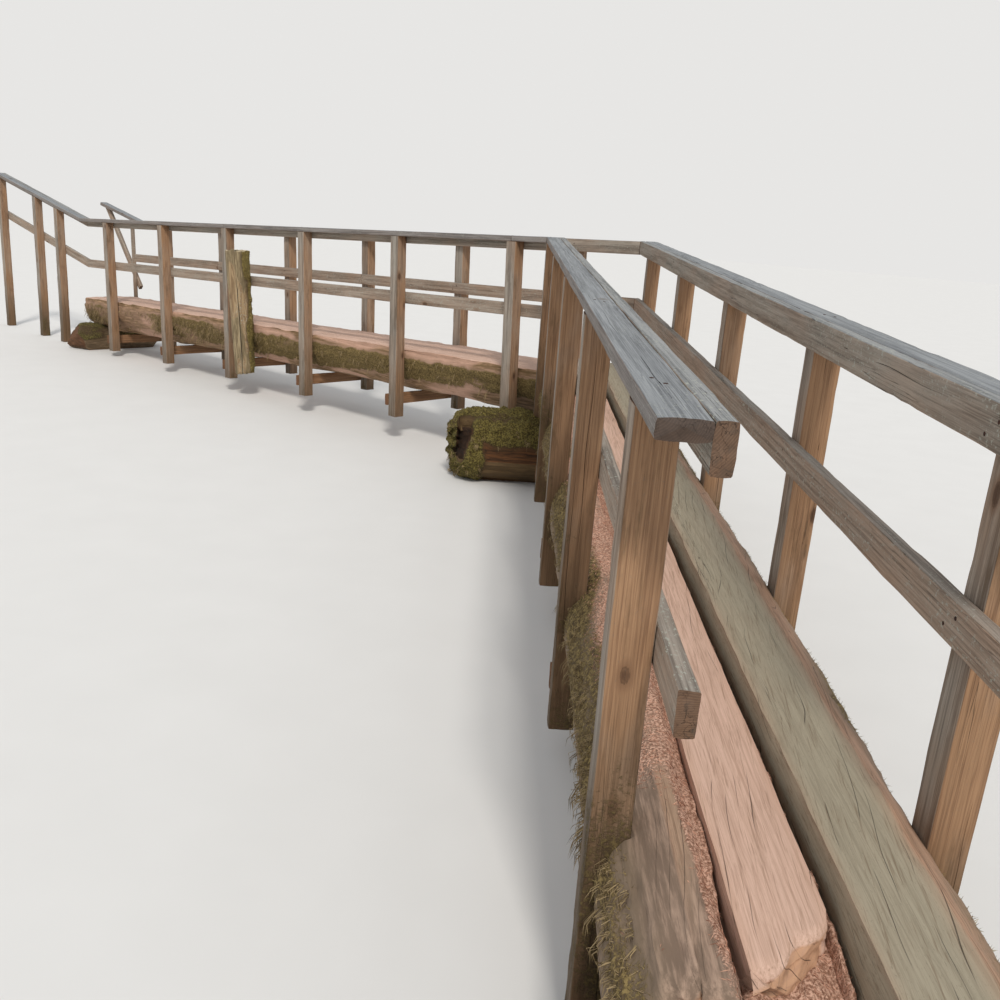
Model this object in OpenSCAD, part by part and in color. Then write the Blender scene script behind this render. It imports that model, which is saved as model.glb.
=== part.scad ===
/* [Timber] */
// Side of the square posts
post_side = 89; // [70:1:120]
// Thickness of the rail boards
board_t = 38; // [25:1:50]
// Width of the rail boards
board_w = 89; // [70:1:120]

/* [Layout in plan] */
// Turn to the left between the two spans, in degrees
bend_deg = 47; // [30:1:60]
// Space between the two rows of posts
deck_w = 600; // [560:5:700]
// Near span, from the bend to the first pair of posts
near_span = 4940; // [4400:20:5200]
// Far span, from the bend to the last pair of posts
far_span = 6349; // [5800:20:6700]
// First post of the far span, measured from the bend
far_first = 274; // [240:2:320]
// Length of the caps and rails past the first near post
cap_overhang = 250; // [100:10:300]

/* [Heights] */
// Underside of the caps above the floor, at the bend
cap_z = 1630; // [1600:5:1700]
// Fall of the near span toward the near bank, in degrees
near_fall = 2.0; // [1:0.1:2.4]
// Fall of the far span toward the far bank, in degrees
far_fall = 1.6; // [1:0.1:2]
// Length of the full posts below the caps
post_len = 1390; // [1350:5:1420]
// Top of the midrail below the caps, on the left and front side
mid_low = 415; // [380:5:450]
// Top of the midrail below the caps, on the right and back side
mid_high = 345; // [300:5:380]
// Hewn top of the far log below the caps
far_deck = 850; // [840:2:860]
// Underside of the near logs below the caps
near_base = 1205; // [1190:5:1220]

/* [Far bank] */
// Where the rails turn up the bank, measured from the bend
bank_start = 7000; // [6900:10:7100]
// Rise of the bank rails against the span, in degrees
bank_rise = 12.4; // [9:0.1:14]
// Length of the front rail up the bank
bank_run = 2440; // [2400:10:2500]
// Length of the back cap up the bank
back_run = 960; // [900:10:1000]

/* [Logs] */
// Radius of the left near log
left_r = 208; // [204:1:214]
// Radius of the middle near log
middle_r = 136; // [130:1:140]
// Radius of the right near log
right_r = 234; // [230:1:240]
// Radius of the far log at the bend
far_r_bend = 300; // [290:1:302]
// Radius of the far log at the bank
far_r_bank = 312; // [304:1:316]
// Radius of the sill log at the bend
bend_sill_r = 245; // [241:1:249]
// Radius of the sill log at the near bank
near_sill_r = 190; // [180:1:195]
// Radius of the sill log at the far bank
far_sill_r = 180; // [170:1:185]
// Length of the sill logs at the two banks
sill_len = 1150; // [1000:10:1300]

/* [Hidden] */
$fn = 96;

// Gap left between a log and the saddle or gain it lies in
seat = 0.3;
// Room beside a post in its gain
gain_gap = 2;
// Reach of the cutting blocks
reach = 4 * far_span;

// Inner and outer faces of the right and back row, from the outer face of the left and front row
right_in = post_side + deck_w;
right_out = right_in + post_side;
rail_in = right_in - board_t;
middle_y = post_side + deck_w / 2;

// Near faces of the posts, measured from the bend
near_bays = 4;
near_bay = near_span / near_bays;
near_left_at = [for (i = [0:near_bays - 1]) near_span - i * near_bay];
right_lag = 10;
near_right_at = [for (s = near_left_at) s - right_lag];
corner_left_at = 55;
corner_right_at = -90;
far_bays = 5;
far_bay = (far_span - far_first) / far_bays;
far_at = [for (i = [0:far_bays]) far_first + i * far_bay];
bank_bay = 600;
bank_end_gap = 160;
bank_at = [bank_start + bank_bay, bank_start + 2 * bank_bay, bank_start + bank_run - bank_end_gap];
// How far the boards run on before a mitre cuts them
overrun = 300;

// Centre lines and hewn faces of the near logs
left_log_y = 235;
left_log_z = -1030;
left_log_top = -840;
left_log_face = 418;
left_log_past = 510;
left_log_end = near_span + left_log_past;
mid_log_l = 236;
mid_log_r = 410;
mid_log_top = -845;
mid_log_rise = 30;
mid_log_past = 460;
mid_log_end = near_span + mid_log_past;
right_log_y = 500;
right_log_z = -1000;
right_log_l = 430;
right_log_top = -790;
right_log_past = 680;
right_log_end = near_span + right_log_past;
// How far the logs run on before the mitre at the bend cuts them
past_bend = 700;
log_joint = 12;
// How much a near log's radius changes over its length
taper = 8;

// Axe cuts that chop the logs' ends: how far back from the end each one starts, and how far it turns
// and tips, in degrees
left_chop_top = [70, -24, 30];
left_chop_low = [60, 28, -22];
mid_chop_top = [135, 42, 12];
mid_chop_low = [88, 8, -34];
mid_chop_drop = 40;
right_chop_top = [30, 12, 16];
right_chop_low = [45, -10, -26];
far_chop_low = [60, 14, -20];
far_chop_top = [50, -18, 8];
sill_right_chops = [[30, 12, 24], [40, -20, -28]];
sill_left_chops = [[30, -14, 26], [40, 16, -24]];

// The far log and what stands at its end
far_log_drop = 65;
far_log_z = -far_deck - far_log_drop;
far_log_past = 350;
far_log_end = bank_start + far_log_past;
thin_past = 150;
thin_at = bank_start + thin_past;
thin_foot = 1140;
brace_foot = 760;
brace_w = 64;
brace_deg = 51;

// Sills
bend_sill_top = 1150;
bend_sill_at = -60;
bend_sill_l = -630;
bend_sill_past = 220;
bend_sill_end = right_out + bend_sill_past;
bend_sill_z = cap_z - bend_sill_top - bend_sill_r;
bend_foot = 1185;
hewn_chord = 250;
hewn_tip = 12;
near_sill_past = 300;
near_sill_at = near_span + near_sill_past;
near_sill_sunk = 22;
near_sill_z = near_sill_r - near_sill_sunk;
far_sill_past = 20;
far_sill_at = bank_start + far_sill_past;
far_sill_sunk = 65;
far_sill_z = far_sill_r - far_sill_sunk;

// The hollow in the left end of the sill at the bend
rot_deep = 190;
rot_wide = 42;
rot_tall = 130;
rot_back = 30;
rot_up = 55;

// The split log stood against the far span: where its foot is, its radius at the top and at the foot,
// the split down from its top and its seat on the side of the far log
split_at = 3662;
split_r = 108;
split_foot_r = 86;
split_top = 175;
split_foot = 1315;
split_lean = 2.5;
split_gap = 7;
split_deep = 420;
split_turn = -42;
split_seat = 60;

function far_r(s) = far_r_bend + (far_r_bank - far_r_bend) * s / far_log_end;

// Plan of the near span on the floor: x runs back from the bend toward the near bank
module near_plan() {
    rotate([0, 0, -bend_deg]) children();
}

// Frames of the spans: x runs back toward the near bank, z starts at the underside of the caps
module near_frame() {
    near_plan() translate([0, 0, cap_z]) rotate([0, near_fall, 0]) children();
}

module far_frame() {
    translate([0, 0, cap_z]) rotate([0, -far_fall, 0]) children();
}

module bank_frame() {
    far_frame() translate([-bank_start, 0, 0]) rotate([0, bank_rise, 0]) children();
}

// A straight timber between two corners
module timber(low, high) {
    translate(low) cube(high - low);
}

// A round log along x from x0 to x1, with a radius at each end
module round_log(x0, x1, y, z, r0, r1) {
    translate([x0, y, z]) rotate([0, 90, 0]) cylinder(h = x1 - x0, r1 = r0, r2 = r1);
}

// A round log along y, laid on the floor and cut flat where it bears
module floor_log(x, y0, y1, z, r) {
    difference() {
        translate([x, y0, z]) rotate([-90, 0, 0]) cylinder(h = y1 - y0, r = r);
        translate([-reach / 2, -reach / 2, -reach]) cube(reach);
    }
}

// What an axe takes off the end of a log that ends at x = end, by one of the cuts listed above
module axe_cut(end, y, z, chop) {
    translate([end - chop[0], y, z])
        rotate([0, -chop[2], chop[1]])
            translate([0, -reach / 2, -reach / 2])
                cube(reach);
}

// Everything on the far side of the mitre at the bend
module far_of_bend(gap = 0) {
    rotate([0, 0, -bend_deg / 2])
        translate([gap / 2 - reach, -reach / 2, -reach / 2])
            cube(reach);
}

// Everything on the near side of the mitre at the bend
module near_of_bend(gap = 0) {
    rotate([0, 0, -bend_deg / 2])
        translate([-gap / 2, -reach / 2, -reach / 2])
            cube(reach);
}

// Everything on the bank side of the mitre where the rails turn up the bank
module bank_side() {
    far_frame()
        translate([-bank_start, 0, 0])
            rotate([0, bank_rise / 2, 0])
                translate([-reach, -reach / 2, -reach / 2])
                    cube(reach);
}

// Everything above the underside of the caps that go up the bank
module above_bank_cap() {
    bank_frame() timber([-reach, -reach, 0], [reach, reach, reach]);
}

// Logs as they lie, before the posts are let in; grow opens a saddle around them
module left_log_shape(grow = 0) {
    intersection() {
        round_log(-past_bend, left_log_end, left_log_y, left_log_z,
                  left_r - taper / 2 + grow, left_r + taper / 2 + grow);
        timber([-reach, 0, -near_base - grow], [reach, left_log_face, left_log_top]);
    }
}

module middle_log_shape(grow = 0) {
    intersection() {
        round_log(-past_bend, mid_log_end, (mid_log_l + mid_log_r) / 2, mid_log_top + mid_log_rise,
                  middle_r - taper / 2 + grow, middle_r + taper / 2 + grow);
        timber([-reach, mid_log_l - grow, -near_base],
               [reach, mid_log_r + grow, mid_log_top + (grow > 0 ? middle_r : 0)]);
    }
}

module right_log_shape(grow = 0) {
    intersection() {
        round_log(-past_bend, right_log_end, right_log_y, right_log_z,
                  right_r - taper / 2 + grow, right_r + taper / 2 + grow);
        timber([-reach, right_log_l, -near_base - grow], [reach, reach, right_log_top]);
    }
}

module far_log_shape(grow = 0) {
    intersection() {
        round_log(-far_log_end, past_bend, middle_y, far_log_z,
                  far_r(far_log_end) + grow, far_r(-past_bend) + grow);
        timber([-far_log_end, -reach, -reach], [past_bend, reach, -far_deck]);
    }
}

// Gains: flat seats cut in a log's side, where a post with its near face at s stands
module left_gain(s, wide = post_side) {
    timber([s - wide - gain_gap, -reach, -reach], [s + gain_gap, post_side + seat, 0]);
}

module right_gain(s, wide = post_side) {
    timber([s - wide - gain_gap, right_in - seat, -reach], [s + gain_gap, reach, 0]);
}

// The left log's near end is cut to a slanting point, and the middle log lies in its shoulder
module near_left_log() {
    color([0.45, 0.38, 0.28])
        difference() {
            near_frame()
                difference() {
                    left_log_shape();
                    for (s = near_left_at) left_gain(s);
                    left_gain(corner_left_at);
                    middle_log_shape(seat);
                    axe_cut(left_log_end, left_log_y, left_log_top, left_chop_top);
                    axe_cut(left_log_end, left_log_y, left_log_z, left_chop_low);
                }
            far_of_bend(log_joint);
        }
}

// The middle log's near end is chopped at a slant
module near_middle_log() {
    color([0.72, 0.55, 0.45])
        difference() {
            near_frame()
                difference() {
                    middle_log_shape();
                    axe_cut(mid_log_end, (mid_log_l + mid_log_r) / 2, mid_log_top, mid_chop_top);
                    axe_cut(mid_log_end, mid_log_l, mid_log_top - mid_chop_drop, mid_chop_low);
                }
            far_of_bend(log_joint);
        }
}

// The right log is hewn on top and on its left side, and its near end is undercut
module near_right_log() {
    color([0.55, 0.44, 0.32])
        difference() {
            near_frame()
                difference() {
                    right_log_shape();
                    for (s = near_right_at) right_gain(s);
                    right_gain(corner_right_at);
                    axe_cut(right_log_end, right_log_y, right_log_top, right_chop_top);
                    axe_cut(right_log_end, right_log_y, right_log_z, right_chop_low);
                }
            far_of_bend(log_joint);
        }
}

module far_log() {
    color([0.74, 0.56, 0.46])
        difference() {
            far_frame()
                difference() {
                    far_log_shape();
                    for (s = far_at) {
                        left_gain(-s);
                        right_gain(-s);
                    }
                    left_gain(split_seat - split_at, 2 * split_seat);
                    right_gain(-thin_at, board_t);
                    mirror([1, 0, 0]) axe_cut(far_log_end, middle_y, far_log_z, far_chop_low);
                    mirror([1, 0, 0]) axe_cut(far_log_end, middle_y, -far_deck, far_chop_top);
                }
            near_of_bend(log_joint);
        }
}

// A sill log, flat on the floor and chopped at both ends
module sill_log(x, y0, y1, z, r) {
    difference() {
        floor_log(x, y0, y1, z, r);
        rotate([0, 0, 90]) {
            for (chop = sill_right_chops) axe_cut(y1, -x, z, chop);
            for (chop = sill_left_chops) mirror([1, 0, 0]) axe_cut(-y0, -x, z, chop);
        }
    }
}

// Each sill has a saddle for each log that lies on it
module near_sill() {
    half = sill_len / 2;
    color([0.40, 0.33, 0.24])
        difference() {
            near_plan() sill_log(near_sill_at, middle_y - half, middle_y + half, near_sill_z, near_sill_r);
            near_frame() left_log_shape(seat);
            near_frame() right_log_shape(seat);
        }
}

// The sill at the bend is hewn on the side toward the near bank, and its left end is hollow with rot
module bend_sill() {
    face = sqrt(pow(bend_sill_r, 2) - pow(hewn_chord / 2, 2));
    color([0.36, 0.36, 0.20])
        difference() {
            near_plan()
                difference() {
                    sill_log(bend_sill_at, bend_sill_l, bend_sill_end, bend_sill_z, bend_sill_r);
                    translate([bend_sill_at, 0, bend_sill_z])
                        rotate([0, -hewn_tip, 0])
                            translate([face, -reach / 2, -reach / 2])
                                cube(reach);
                    rot_pocket(bend_sill_at - rot_back, bend_sill_l, bend_sill_z + rot_up);
                }
            near_frame() left_log_shape(seat);
            near_frame() right_log_shape(seat);
            difference() {
                far_frame() far_log_shape(seat);
                near_of_bend();
            }
            near_frame() foot_socket(corner_left_at, 0, bend_foot);
            near_frame() foot_socket(corner_right_at, right_in, bend_foot);
            far_frame() foot_socket(-far_first, 0, bend_foot);
        }
}

// A tall, narrow hollow in the end of a log
module rot_pocket(x, y, z) {
    half = rot_tall / 2;
    for (end = [-half, half])
        translate([x, y, z + end]) rotate([-90, 0, 0]) cylinder(h = rot_deep, r = rot_wide);
    timber([x - rot_wide, y, z - half], [x + rot_wide, y + rot_deep, z + half]);
}

// Where a post stands in the top of a sill
module foot_socket(s, y, foot) {
    timber([s - post_side - gain_gap, y - gain_gap, -foot], [s + gain_gap, y + post_side + gain_gap, 0]);
}

module far_sill() {
    half = sill_len / 2;
    color([0.42, 0.34, 0.25])
        difference() {
            sill_log(-far_sill_at, middle_y - half, middle_y + half, far_sill_z, far_sill_r);
            far_frame() far_log_shape(seat);
        }
}

// A square post that stands under the caps, with its near face at s
module post(s, y, len) {
    timber([s - post_side, y, -len], [s, y + post_side, 0]);
}

module near_posts(i) {
    last = i > near_bays;
    len = last ? bend_foot : post_len;
    color([0.55, 0.40, 0.28])
        near_frame() {
            post(last ? corner_left_at : near_left_at[i - 1], 0, len);
            post(last ? corner_right_at : near_right_at[i - 1], right_in, len);
        }
}

// The front post nearest the bend stands on the sill
module far_posts(i) {
    color([0.55, 0.42, 0.30])
        far_frame() {
            post(-far_at[i - 1], 0, i == 1 ? bend_foot : post_len);
            post(-far_at[i - 1], right_in, post_len);
        }
}

// The bank posts run down to the lowest ground and end under the sloping cap
module bank_posts() {
    color([0.50, 0.40, 0.30])
        difference() {
            for (s = bank_at)
                translate([-s - post_side, 0, 0]) cube([post_side, post_side, 2 * cap_z]);
            above_bank_cap();
        }
}

// Cross ties under the logs, on the bank side of the posts that they join
module near_cross_ties() {
    color([0.50, 0.42, 0.33])
        near_frame()
            for (i = [1:near_bays - 1]) {
                s = near_right_at[i] - post_side;
                timber([s - board_t, 0, -near_base - board_w], [s, right_out, -near_base]);
            }
}

module far_cross_ties() {
    color([0.50, 0.42, 0.33])
        far_frame()
            for (i = [1:far_bays]) {
                s = far_at[i] + post_side;
                top = far_log_z - far_r(s + board_t);
                timber([-s - board_t, 0, top - board_w], [-s, right_out, top]);
            }
}

// Boards of the railings: caps lie flat on the posts, rails and midrails stand on edge inside them
module near_board(y0, y1, z0, z1) {
    difference() {
        near_frame() timber([-past_bend, y0, z0], [near_span + cap_overhang, y1, z1]);
        far_of_bend();
    }
}

module far_board(y0, y1, z0, z1) {
    difference() {
        far_frame() timber([-bank_start - overrun, y0, z0], [past_bend, y1, z1]);
        near_of_bend();
        bank_side();
    }
}

module bank_board(run, y0, y1, z0, z1) {
    intersection() {
        bank_frame() timber([-run, y0, z0], [overrun, y1, z1]);
        bank_side();
    }
}

module near_left_cap() {
    color([0.60, 0.60, 0.60]) near_board(0, post_side, 0, board_t);
}

module near_right_cap() {
    color([0.60, 0.60, 0.60]) near_board(right_in, right_out, 0, board_t);
}

module near_left_rail() {
    color([0.62, 0.50, 0.40]) near_board(post_side, post_side + board_t, board_t - board_w, board_t);
}

module near_right_rail() {
    color([0.55, 0.54, 0.52]) near_board(rail_in, right_in, board_t - board_w, board_t);
}

module near_left_midrail() {
    color([0.55, 0.48, 0.40]) near_board(post_side, post_side + board_t, -mid_low - board_w, -mid_low);
}

module near_right_midrail() {
    color([0.52, 0.47, 0.42]) near_board(rail_in, right_in, -mid_high - board_w, -mid_high);
}

module far_front_cap() {
    color([0.62, 0.62, 0.62]) far_board(0, post_side, 0, board_t);
}

module far_back_cap() {
    color([0.58, 0.57, 0.55]) far_board(right_in, right_out, 0, board_t);
}

module far_front_rail() {
    color([0.58, 0.50, 0.42]) far_board(post_side, post_side + board_t, board_t - board_w, board_t);
}

module far_back_rail() {
    color([0.62, 0.46, 0.38]) far_board(rail_in, right_in, board_t - board_w, board_t);
}

module far_front_midrail() {
    color([0.56, 0.50, 0.44]) far_board(post_side, post_side + board_t, -mid_low - board_w, -mid_low);
}

module far_back_midrail() {
    color([0.60, 0.46, 0.38]) far_board(rail_in, right_in, -mid_high - board_w, -mid_high);
}

module bank_cap() {
    color([0.60, 0.60, 0.60]) bank_board(bank_run, 0, post_side, 0, board_t);
}

module bank_rail() {
    color([0.56, 0.50, 0.44])
        bank_board(bank_run, post_side, post_side + board_t, board_t - board_w, board_t);
}

module bank_midrail() {
    color([0.56, 0.50, 0.44])
        bank_board(bank_run, post_side, post_side + board_t, -mid_low - board_w, -mid_low);
}

module bank_back_cap() {
    color([0.60, 0.58, 0.55]) bank_board(back_run, right_in, right_out, 0, board_t);
}

// The thin post at the end of the back rail, against the side of the log
module bank_thin_post() {
    color([0.55, 0.50, 0.44])
        difference() {
            far_frame()
                timber([-thin_at - board_t, right_in, -thin_foot],
                       [-thin_at, right_in + board_t, 2 * post_side]);
            above_bank_cap();
        }
}

// The brace from the foot of the thin post to the end of the back cap
module bank_brace() {
    color([0.55, 0.50, 0.44])
        difference() {
            far_frame()
                translate([-thin_at + board_t / 2, right_in + board_t, -brace_foot])
                    rotate([0, brace_deg, 0])
                        timber([-reach, 0, 0], [0, board_t, brace_w]);
            above_bank_cap();
        }
}

// A log stood on end against the front of the far span, with a split down from its top
module split_post() {
    tall = split_foot - split_top;
    flare = atan((split_r - split_foot_r) / tall);
    color([0.45, 0.42, 0.38])
        far_frame()
            translate([-split_at, post_side, -split_foot])
                rotate([flare, -split_lean, 0])
                    translate([0, -split_foot_r, 0])
                        difference() {
                            cylinder(h = tall, r1 = split_foot_r, r2 = split_r);
                            rotate([0, 0, split_turn])
                                timber([-reach, -split_gap / 2, tall - split_deep],
                                       [reach, split_gap / 2, reach]);
                        }
}

near_sill();
bend_sill();
far_sill();
near_left_log();
near_middle_log();
near_right_log();
far_log();
for (i = [1:5])
    near_posts(i);
for (i = [1:6])
    far_posts(i);
bank_posts();
near_cross_ties();
far_cross_ties();
near_left_cap();
near_right_cap();
far_front_cap();
far_back_cap();
near_left_rail();
near_right_rail();
far_front_rail();
far_back_rail();
near_left_midrail();
near_right_midrail();
far_front_midrail();
far_back_midrail();
bank_cap();
bank_rail();
bank_midrail();
bank_back_cap();
bank_thin_post();
bank_brace();
split_post();
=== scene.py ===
"""Dresses a log footbridge: hewn logs, weathered railings, moss, needle litter and nails.

The construction comes in as fixed nodes. Each wooden piece is built again here as a finished mesh that
stands in its node's place: a body swept along its own axis, with worn edges, drying cracks and rough ends.
"""
import sys

import logging
import zlib
from collections.abc import Callable, Iterable
from dataclasses import dataclass, field
from enum import Enum
from math import atan, cos, degrees, pi, radians, sin, tan

import bpy
import numpy as np
from mathutils import Matrix, Vector


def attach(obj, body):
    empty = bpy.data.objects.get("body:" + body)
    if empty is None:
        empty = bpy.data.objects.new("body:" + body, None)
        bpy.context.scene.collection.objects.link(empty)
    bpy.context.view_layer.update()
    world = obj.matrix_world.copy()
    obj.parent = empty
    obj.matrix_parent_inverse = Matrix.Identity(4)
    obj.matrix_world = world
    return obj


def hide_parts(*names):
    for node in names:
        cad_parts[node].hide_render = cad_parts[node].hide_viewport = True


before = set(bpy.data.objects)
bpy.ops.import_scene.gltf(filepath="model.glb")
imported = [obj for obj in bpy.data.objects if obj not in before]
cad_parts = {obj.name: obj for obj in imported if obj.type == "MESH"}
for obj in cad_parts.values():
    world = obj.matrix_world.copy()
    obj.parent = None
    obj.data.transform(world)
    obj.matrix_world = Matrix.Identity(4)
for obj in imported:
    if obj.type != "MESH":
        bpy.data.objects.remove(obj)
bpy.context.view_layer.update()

Array = np.ndarray
Pair = tuple[float, float]
Triple = tuple[float, float, float]
Colour = Triple
Material = bpy.types.Material
Greys = tuple[float, float, float, float]
Notch = tuple[float, float, int, float]
Mask = Callable[[Array], Array]
Weight = Callable[[Array, Array], Array]
TINY = 1e-9
FAR_AWAY = 1e9
log = logging.getLogger("footbridge")


def rgb(red: int, green: int, blue: int) -> Colour:
    """Turns a colour written as seen, with parts from 0 to 255, into a linear one."""
    parts = [c / 255 for c in (red, green, blue)]
    return tuple(c / 12.92 if c <= 0.04045 else ((c + 0.055) / 1.055) ** 2.4 for c in parts)


def seeded(name: str) -> np.random.Generator:
    """Gives a piece its own random numbers, the same in each run."""
    return np.random.default_rng(zlib.crc32(name.encode()))


def ease(values: Array, low: float, high: float) -> Array:
    """Rises smoothly from 0 at low to 1 at high."""
    t = np.clip((values - low) / (high - low), 0, 1)
    return t * t * (3 - 2 * t)


class Noise:
    """Smooth noise in three dimensions, from -1 to 1, the same for the same seed."""

    def __init__(self, seed: int) -> None:
        """Fills the tables that the noise reads."""
        rng = np.random.default_rng(seed)
        self.order = rng.permutation(256)
        self.levels = rng.uniform(-1, 1, 256)

    def at(self, points: Array, scale: Triple, octaves: int = 1) -> Array:
        """Samples the noise.

        Args:
            points: Places, with the three coordinates last.
            scale: How many cells there are in a metre, along each axis.
            octaves: How many layers are added, each twice as fine and half as strong.

        Returns:
            One value for each place.
        """
        total = np.zeros(points.shape[:-1])
        for octave in range(octaves):
            total += self._layer(points * np.array(scale) * 2 ** octave + 17.3 * octave) / 2 ** octave
        return total

    def _layer(self, points: Array) -> Array:
        """One layer of noise at places that are measured in cells."""
        cell = np.floor(points).astype(int)
        t = points - cell
        t = t * t * t * (t * (6 * t - 15) + 10)
        total = np.zeros(points.shape[:-1])
        for corner in np.ndindex(2, 2, 2):
            i, j, k = (cell[..., axis] + corner[axis] for axis in range(3))
            level = self.levels[self.order[(self.order[(self.order[i & 255] + j) & 255] + k) & 255]]
            share = np.ones_like(total)
            for axis in range(3):
                share = share * (t[..., axis] if corner[axis] else 1 - t[..., axis])
            total += share * level
        return total


NOISE = Noise(7)


@dataclass(frozen=True)
class Layout:
    """The bridge's driving sizes, in metres and degrees, as the construction has them."""

    bend: float = 47.0
    near_fall: float = 2.0
    far_fall: float = 1.6
    cap_z: float = 1.630
    post: float = 0.089
    board: float = 0.038
    deck: float = 0.600
    bank_start: float = 7.0
    bank_rise: float = 12.4
    near_span: float = 4.940
    log_joint: float = 0.012
    seat: float = 0.0003
    left_heart: Pair = (0.235, -1.030)
    left_radii: Pair = (0.204, 0.212)
    right_heart: Pair = (0.500, -1.000)
    right_radii: Pair = (0.230, 0.238)
    near_base: float = -1.205
    far_heart_z: float = -0.915

    @property
    def middle(self) -> float:
        """The line midway between the two rows of posts."""
        return self.post + self.deck / 2


LAYOUT = Layout()
NEAR_POSTS = [f"near_posts_{number}" for number in range(1, 6)]
FAR_POSTS = [f"far_posts_{number}" for number in range(1, 7)]


class Lie(Enum):
    """Which axes of its span a piece's own u, v and w follow. The piece is long along u."""

    ALONG = (0, 1, 2)
    UP = (2, 0, 1)
    ACROSS = (1, 2, 0)

    def own(self, values: Array) -> Array:
        """Puts three values in the order u, v and w."""
        return values[list(self.value)]

    def in_span(self, grid: Array) -> Array:
        """Puts points given as u, v and w in the order of the span's axes."""
        places = np.empty_like(grid)
        places[..., list(self.value)] = grid
        return places


@dataclass(frozen=True)
class Cut:
    """A plane across a piece, as u = at + slope_v * v + slope_w * w."""

    at: float
    slope_v: float = 0.0
    slope_w: float = 0.0

    def u(self, v: Array, w: Array) -> Array:
        """Where the plane meets the lines at v and w."""
        return self.at + self.slope_v * v + self.slope_w * w


def axe_cut(point: Triple, yaw: float, tip: float, facing: int = 1) -> Cut:
    """A chopped face of a log's end.

    Args:
        point: A point of the face, as u, v and w.
        yaw: How far it turns from square toward v, in degrees.
        tip: How far it tips from square toward w, in degrees.
        facing: 1 at the end of the log and -1 at its start.

    Returns:
        The plane.
    """
    slope_v = -facing * tan(radians(yaw))
    slope_w = -facing * tan(radians(tip)) / cos(radians(yaw))
    return Cut(point[0] - slope_v * point[1] - slope_w * point[2], slope_v, slope_w)


@dataclass(frozen=True)
class Box:
    """The lowest and highest corner of a solid in its span's axes."""

    low: Array
    high: Array

    def own(self, lie: Lie) -> tuple[Array, Array]:
        """Both corners in the order u, v and w."""
        return lie.own(self.low), lie.own(self.high)


class Span:
    """A straight stretch of the bridge with its own axes: x along, y across and z up."""

    def __init__(self, matrix: Matrix) -> None:
        """Keeps the way from the span's axes to the frame's."""
        self.matrix = np.array(matrix)
        self.inverse = np.linalg.inv(self.matrix)

    def to_frame(self, points: Array) -> Array:
        """Moves points from the span's axes to the frame's."""
        return points @ self.matrix[:3, :3].T + self.matrix[:3, 3]

    def from_frame(self, points: Array) -> Array:
        """Moves points from the frame's axes to the span's."""
        return points @ self.inverse[:3, :3].T + self.inverse[:3, 3]

    def points_of(self, node: str) -> Array:
        """The corners of a node's mesh, in the span's axes."""
        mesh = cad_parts[node].data
        points = np.zeros(len(mesh.vertices) * 3)
        mesh.vertices.foreach_get("co", points)
        return self.from_frame(points.reshape(-1, 3))

    def box(self, node: str) -> Box:
        """Measures a whole node."""
        points = self.points_of(node)
        return Box(points.min(0), points.max(0))

    def solids(self, node: str, axis: int = 0, gap: float = 0.3) -> list[Box]:
        """Measures the separate solids of a node.

        Args:
            node: The node's name.
            axis: The axis along which its solids stand apart.
            gap: The least space between two solids.

        Returns:
            A box for each solid, in order along the axis.
        """
        points = self.points_of(node)
        points = points[np.argsort(points[:, axis])]
        breaks = np.flatnonzero(np.diff(points[:, axis]) > gap) + 1
        return [Box(part.min(0), part.max(0)) for part in np.split(points, breaks)]

    def cut(self, point: Array, normal: Array, lie: Lie) -> Cut:
        """Writes a plane of the frame as a cut across a piece.

        Args:
            point: A point of the plane, in the frame's axes.
            normal: The plane's normal, in the frame's axes.
            lie: How the piece lies in the span.

        Returns:
            The cut.
        """
        p = lie.own(self.from_frame(np.array(point, float)))
        n = lie.own(self.inverse[:3, :3] @ np.array(normal, float))
        return Cut(float(n @ p / n[0]), -n[1] / n[0], -n[2] / n[0])


def turned(axis: str, angle: float) -> Matrix:
    """A turn about one axis by an angle in degrees."""
    return Matrix.Rotation(radians(angle), 4, axis)


FLOOR = Span(Matrix.Identity(4))
NEAR_PLAN = Span(turned("Z", -LAYOUT.bend))
LIFT = Matrix.Translation((0, 0, LAYOUT.cap_z))
NEAR = Span(turned("Z", -LAYOUT.bend) @ LIFT @ turned("Y", LAYOUT.near_fall))
FAR = Span(LIFT @ turned("Y", -LAYOUT.far_fall))
BANK_TURN = Matrix(FAR.matrix.tolist()) @ Matrix.Translation((-LAYOUT.bank_start, 0, 0))
BANK = Span(BANK_TURN @ turned("Y", LAYOUT.bank_rise))
BANK_MITRE = Span(BANK_TURN @ turned("Y", LAYOUT.bank_rise / 2))
HALF_BEND = radians(LAYOUT.bend / 2)
MITRE_NORMAL = np.array([cos(HALF_BEND), -sin(HALF_BEND), 0])


def bend_cut(span: Span, lie: Lie, gap: float) -> Cut:
    """The mitre at the bend, moved by gap toward the near bank."""
    return span.cut(MITRE_NORMAL * gap, MITRE_NORMAL, lie)


def bank_cut(span: Span, lie: Lie, gap: float) -> Cut:
    """The mitre where the rails turn up the bank, moved by gap toward the bend."""
    normal = BANK_MITRE.matrix[:3, 0]
    return span.cut(BANK_MITRE.matrix[:3, 3] + normal * gap, normal, lie)


def cap_underside_cut(span: Span, lie: Lie) -> Cut:
    """The underside of the caps that go up the bank."""
    return span.cut(BANK.matrix[:3, 3], BANK.matrix[:3, 2], lie)


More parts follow.
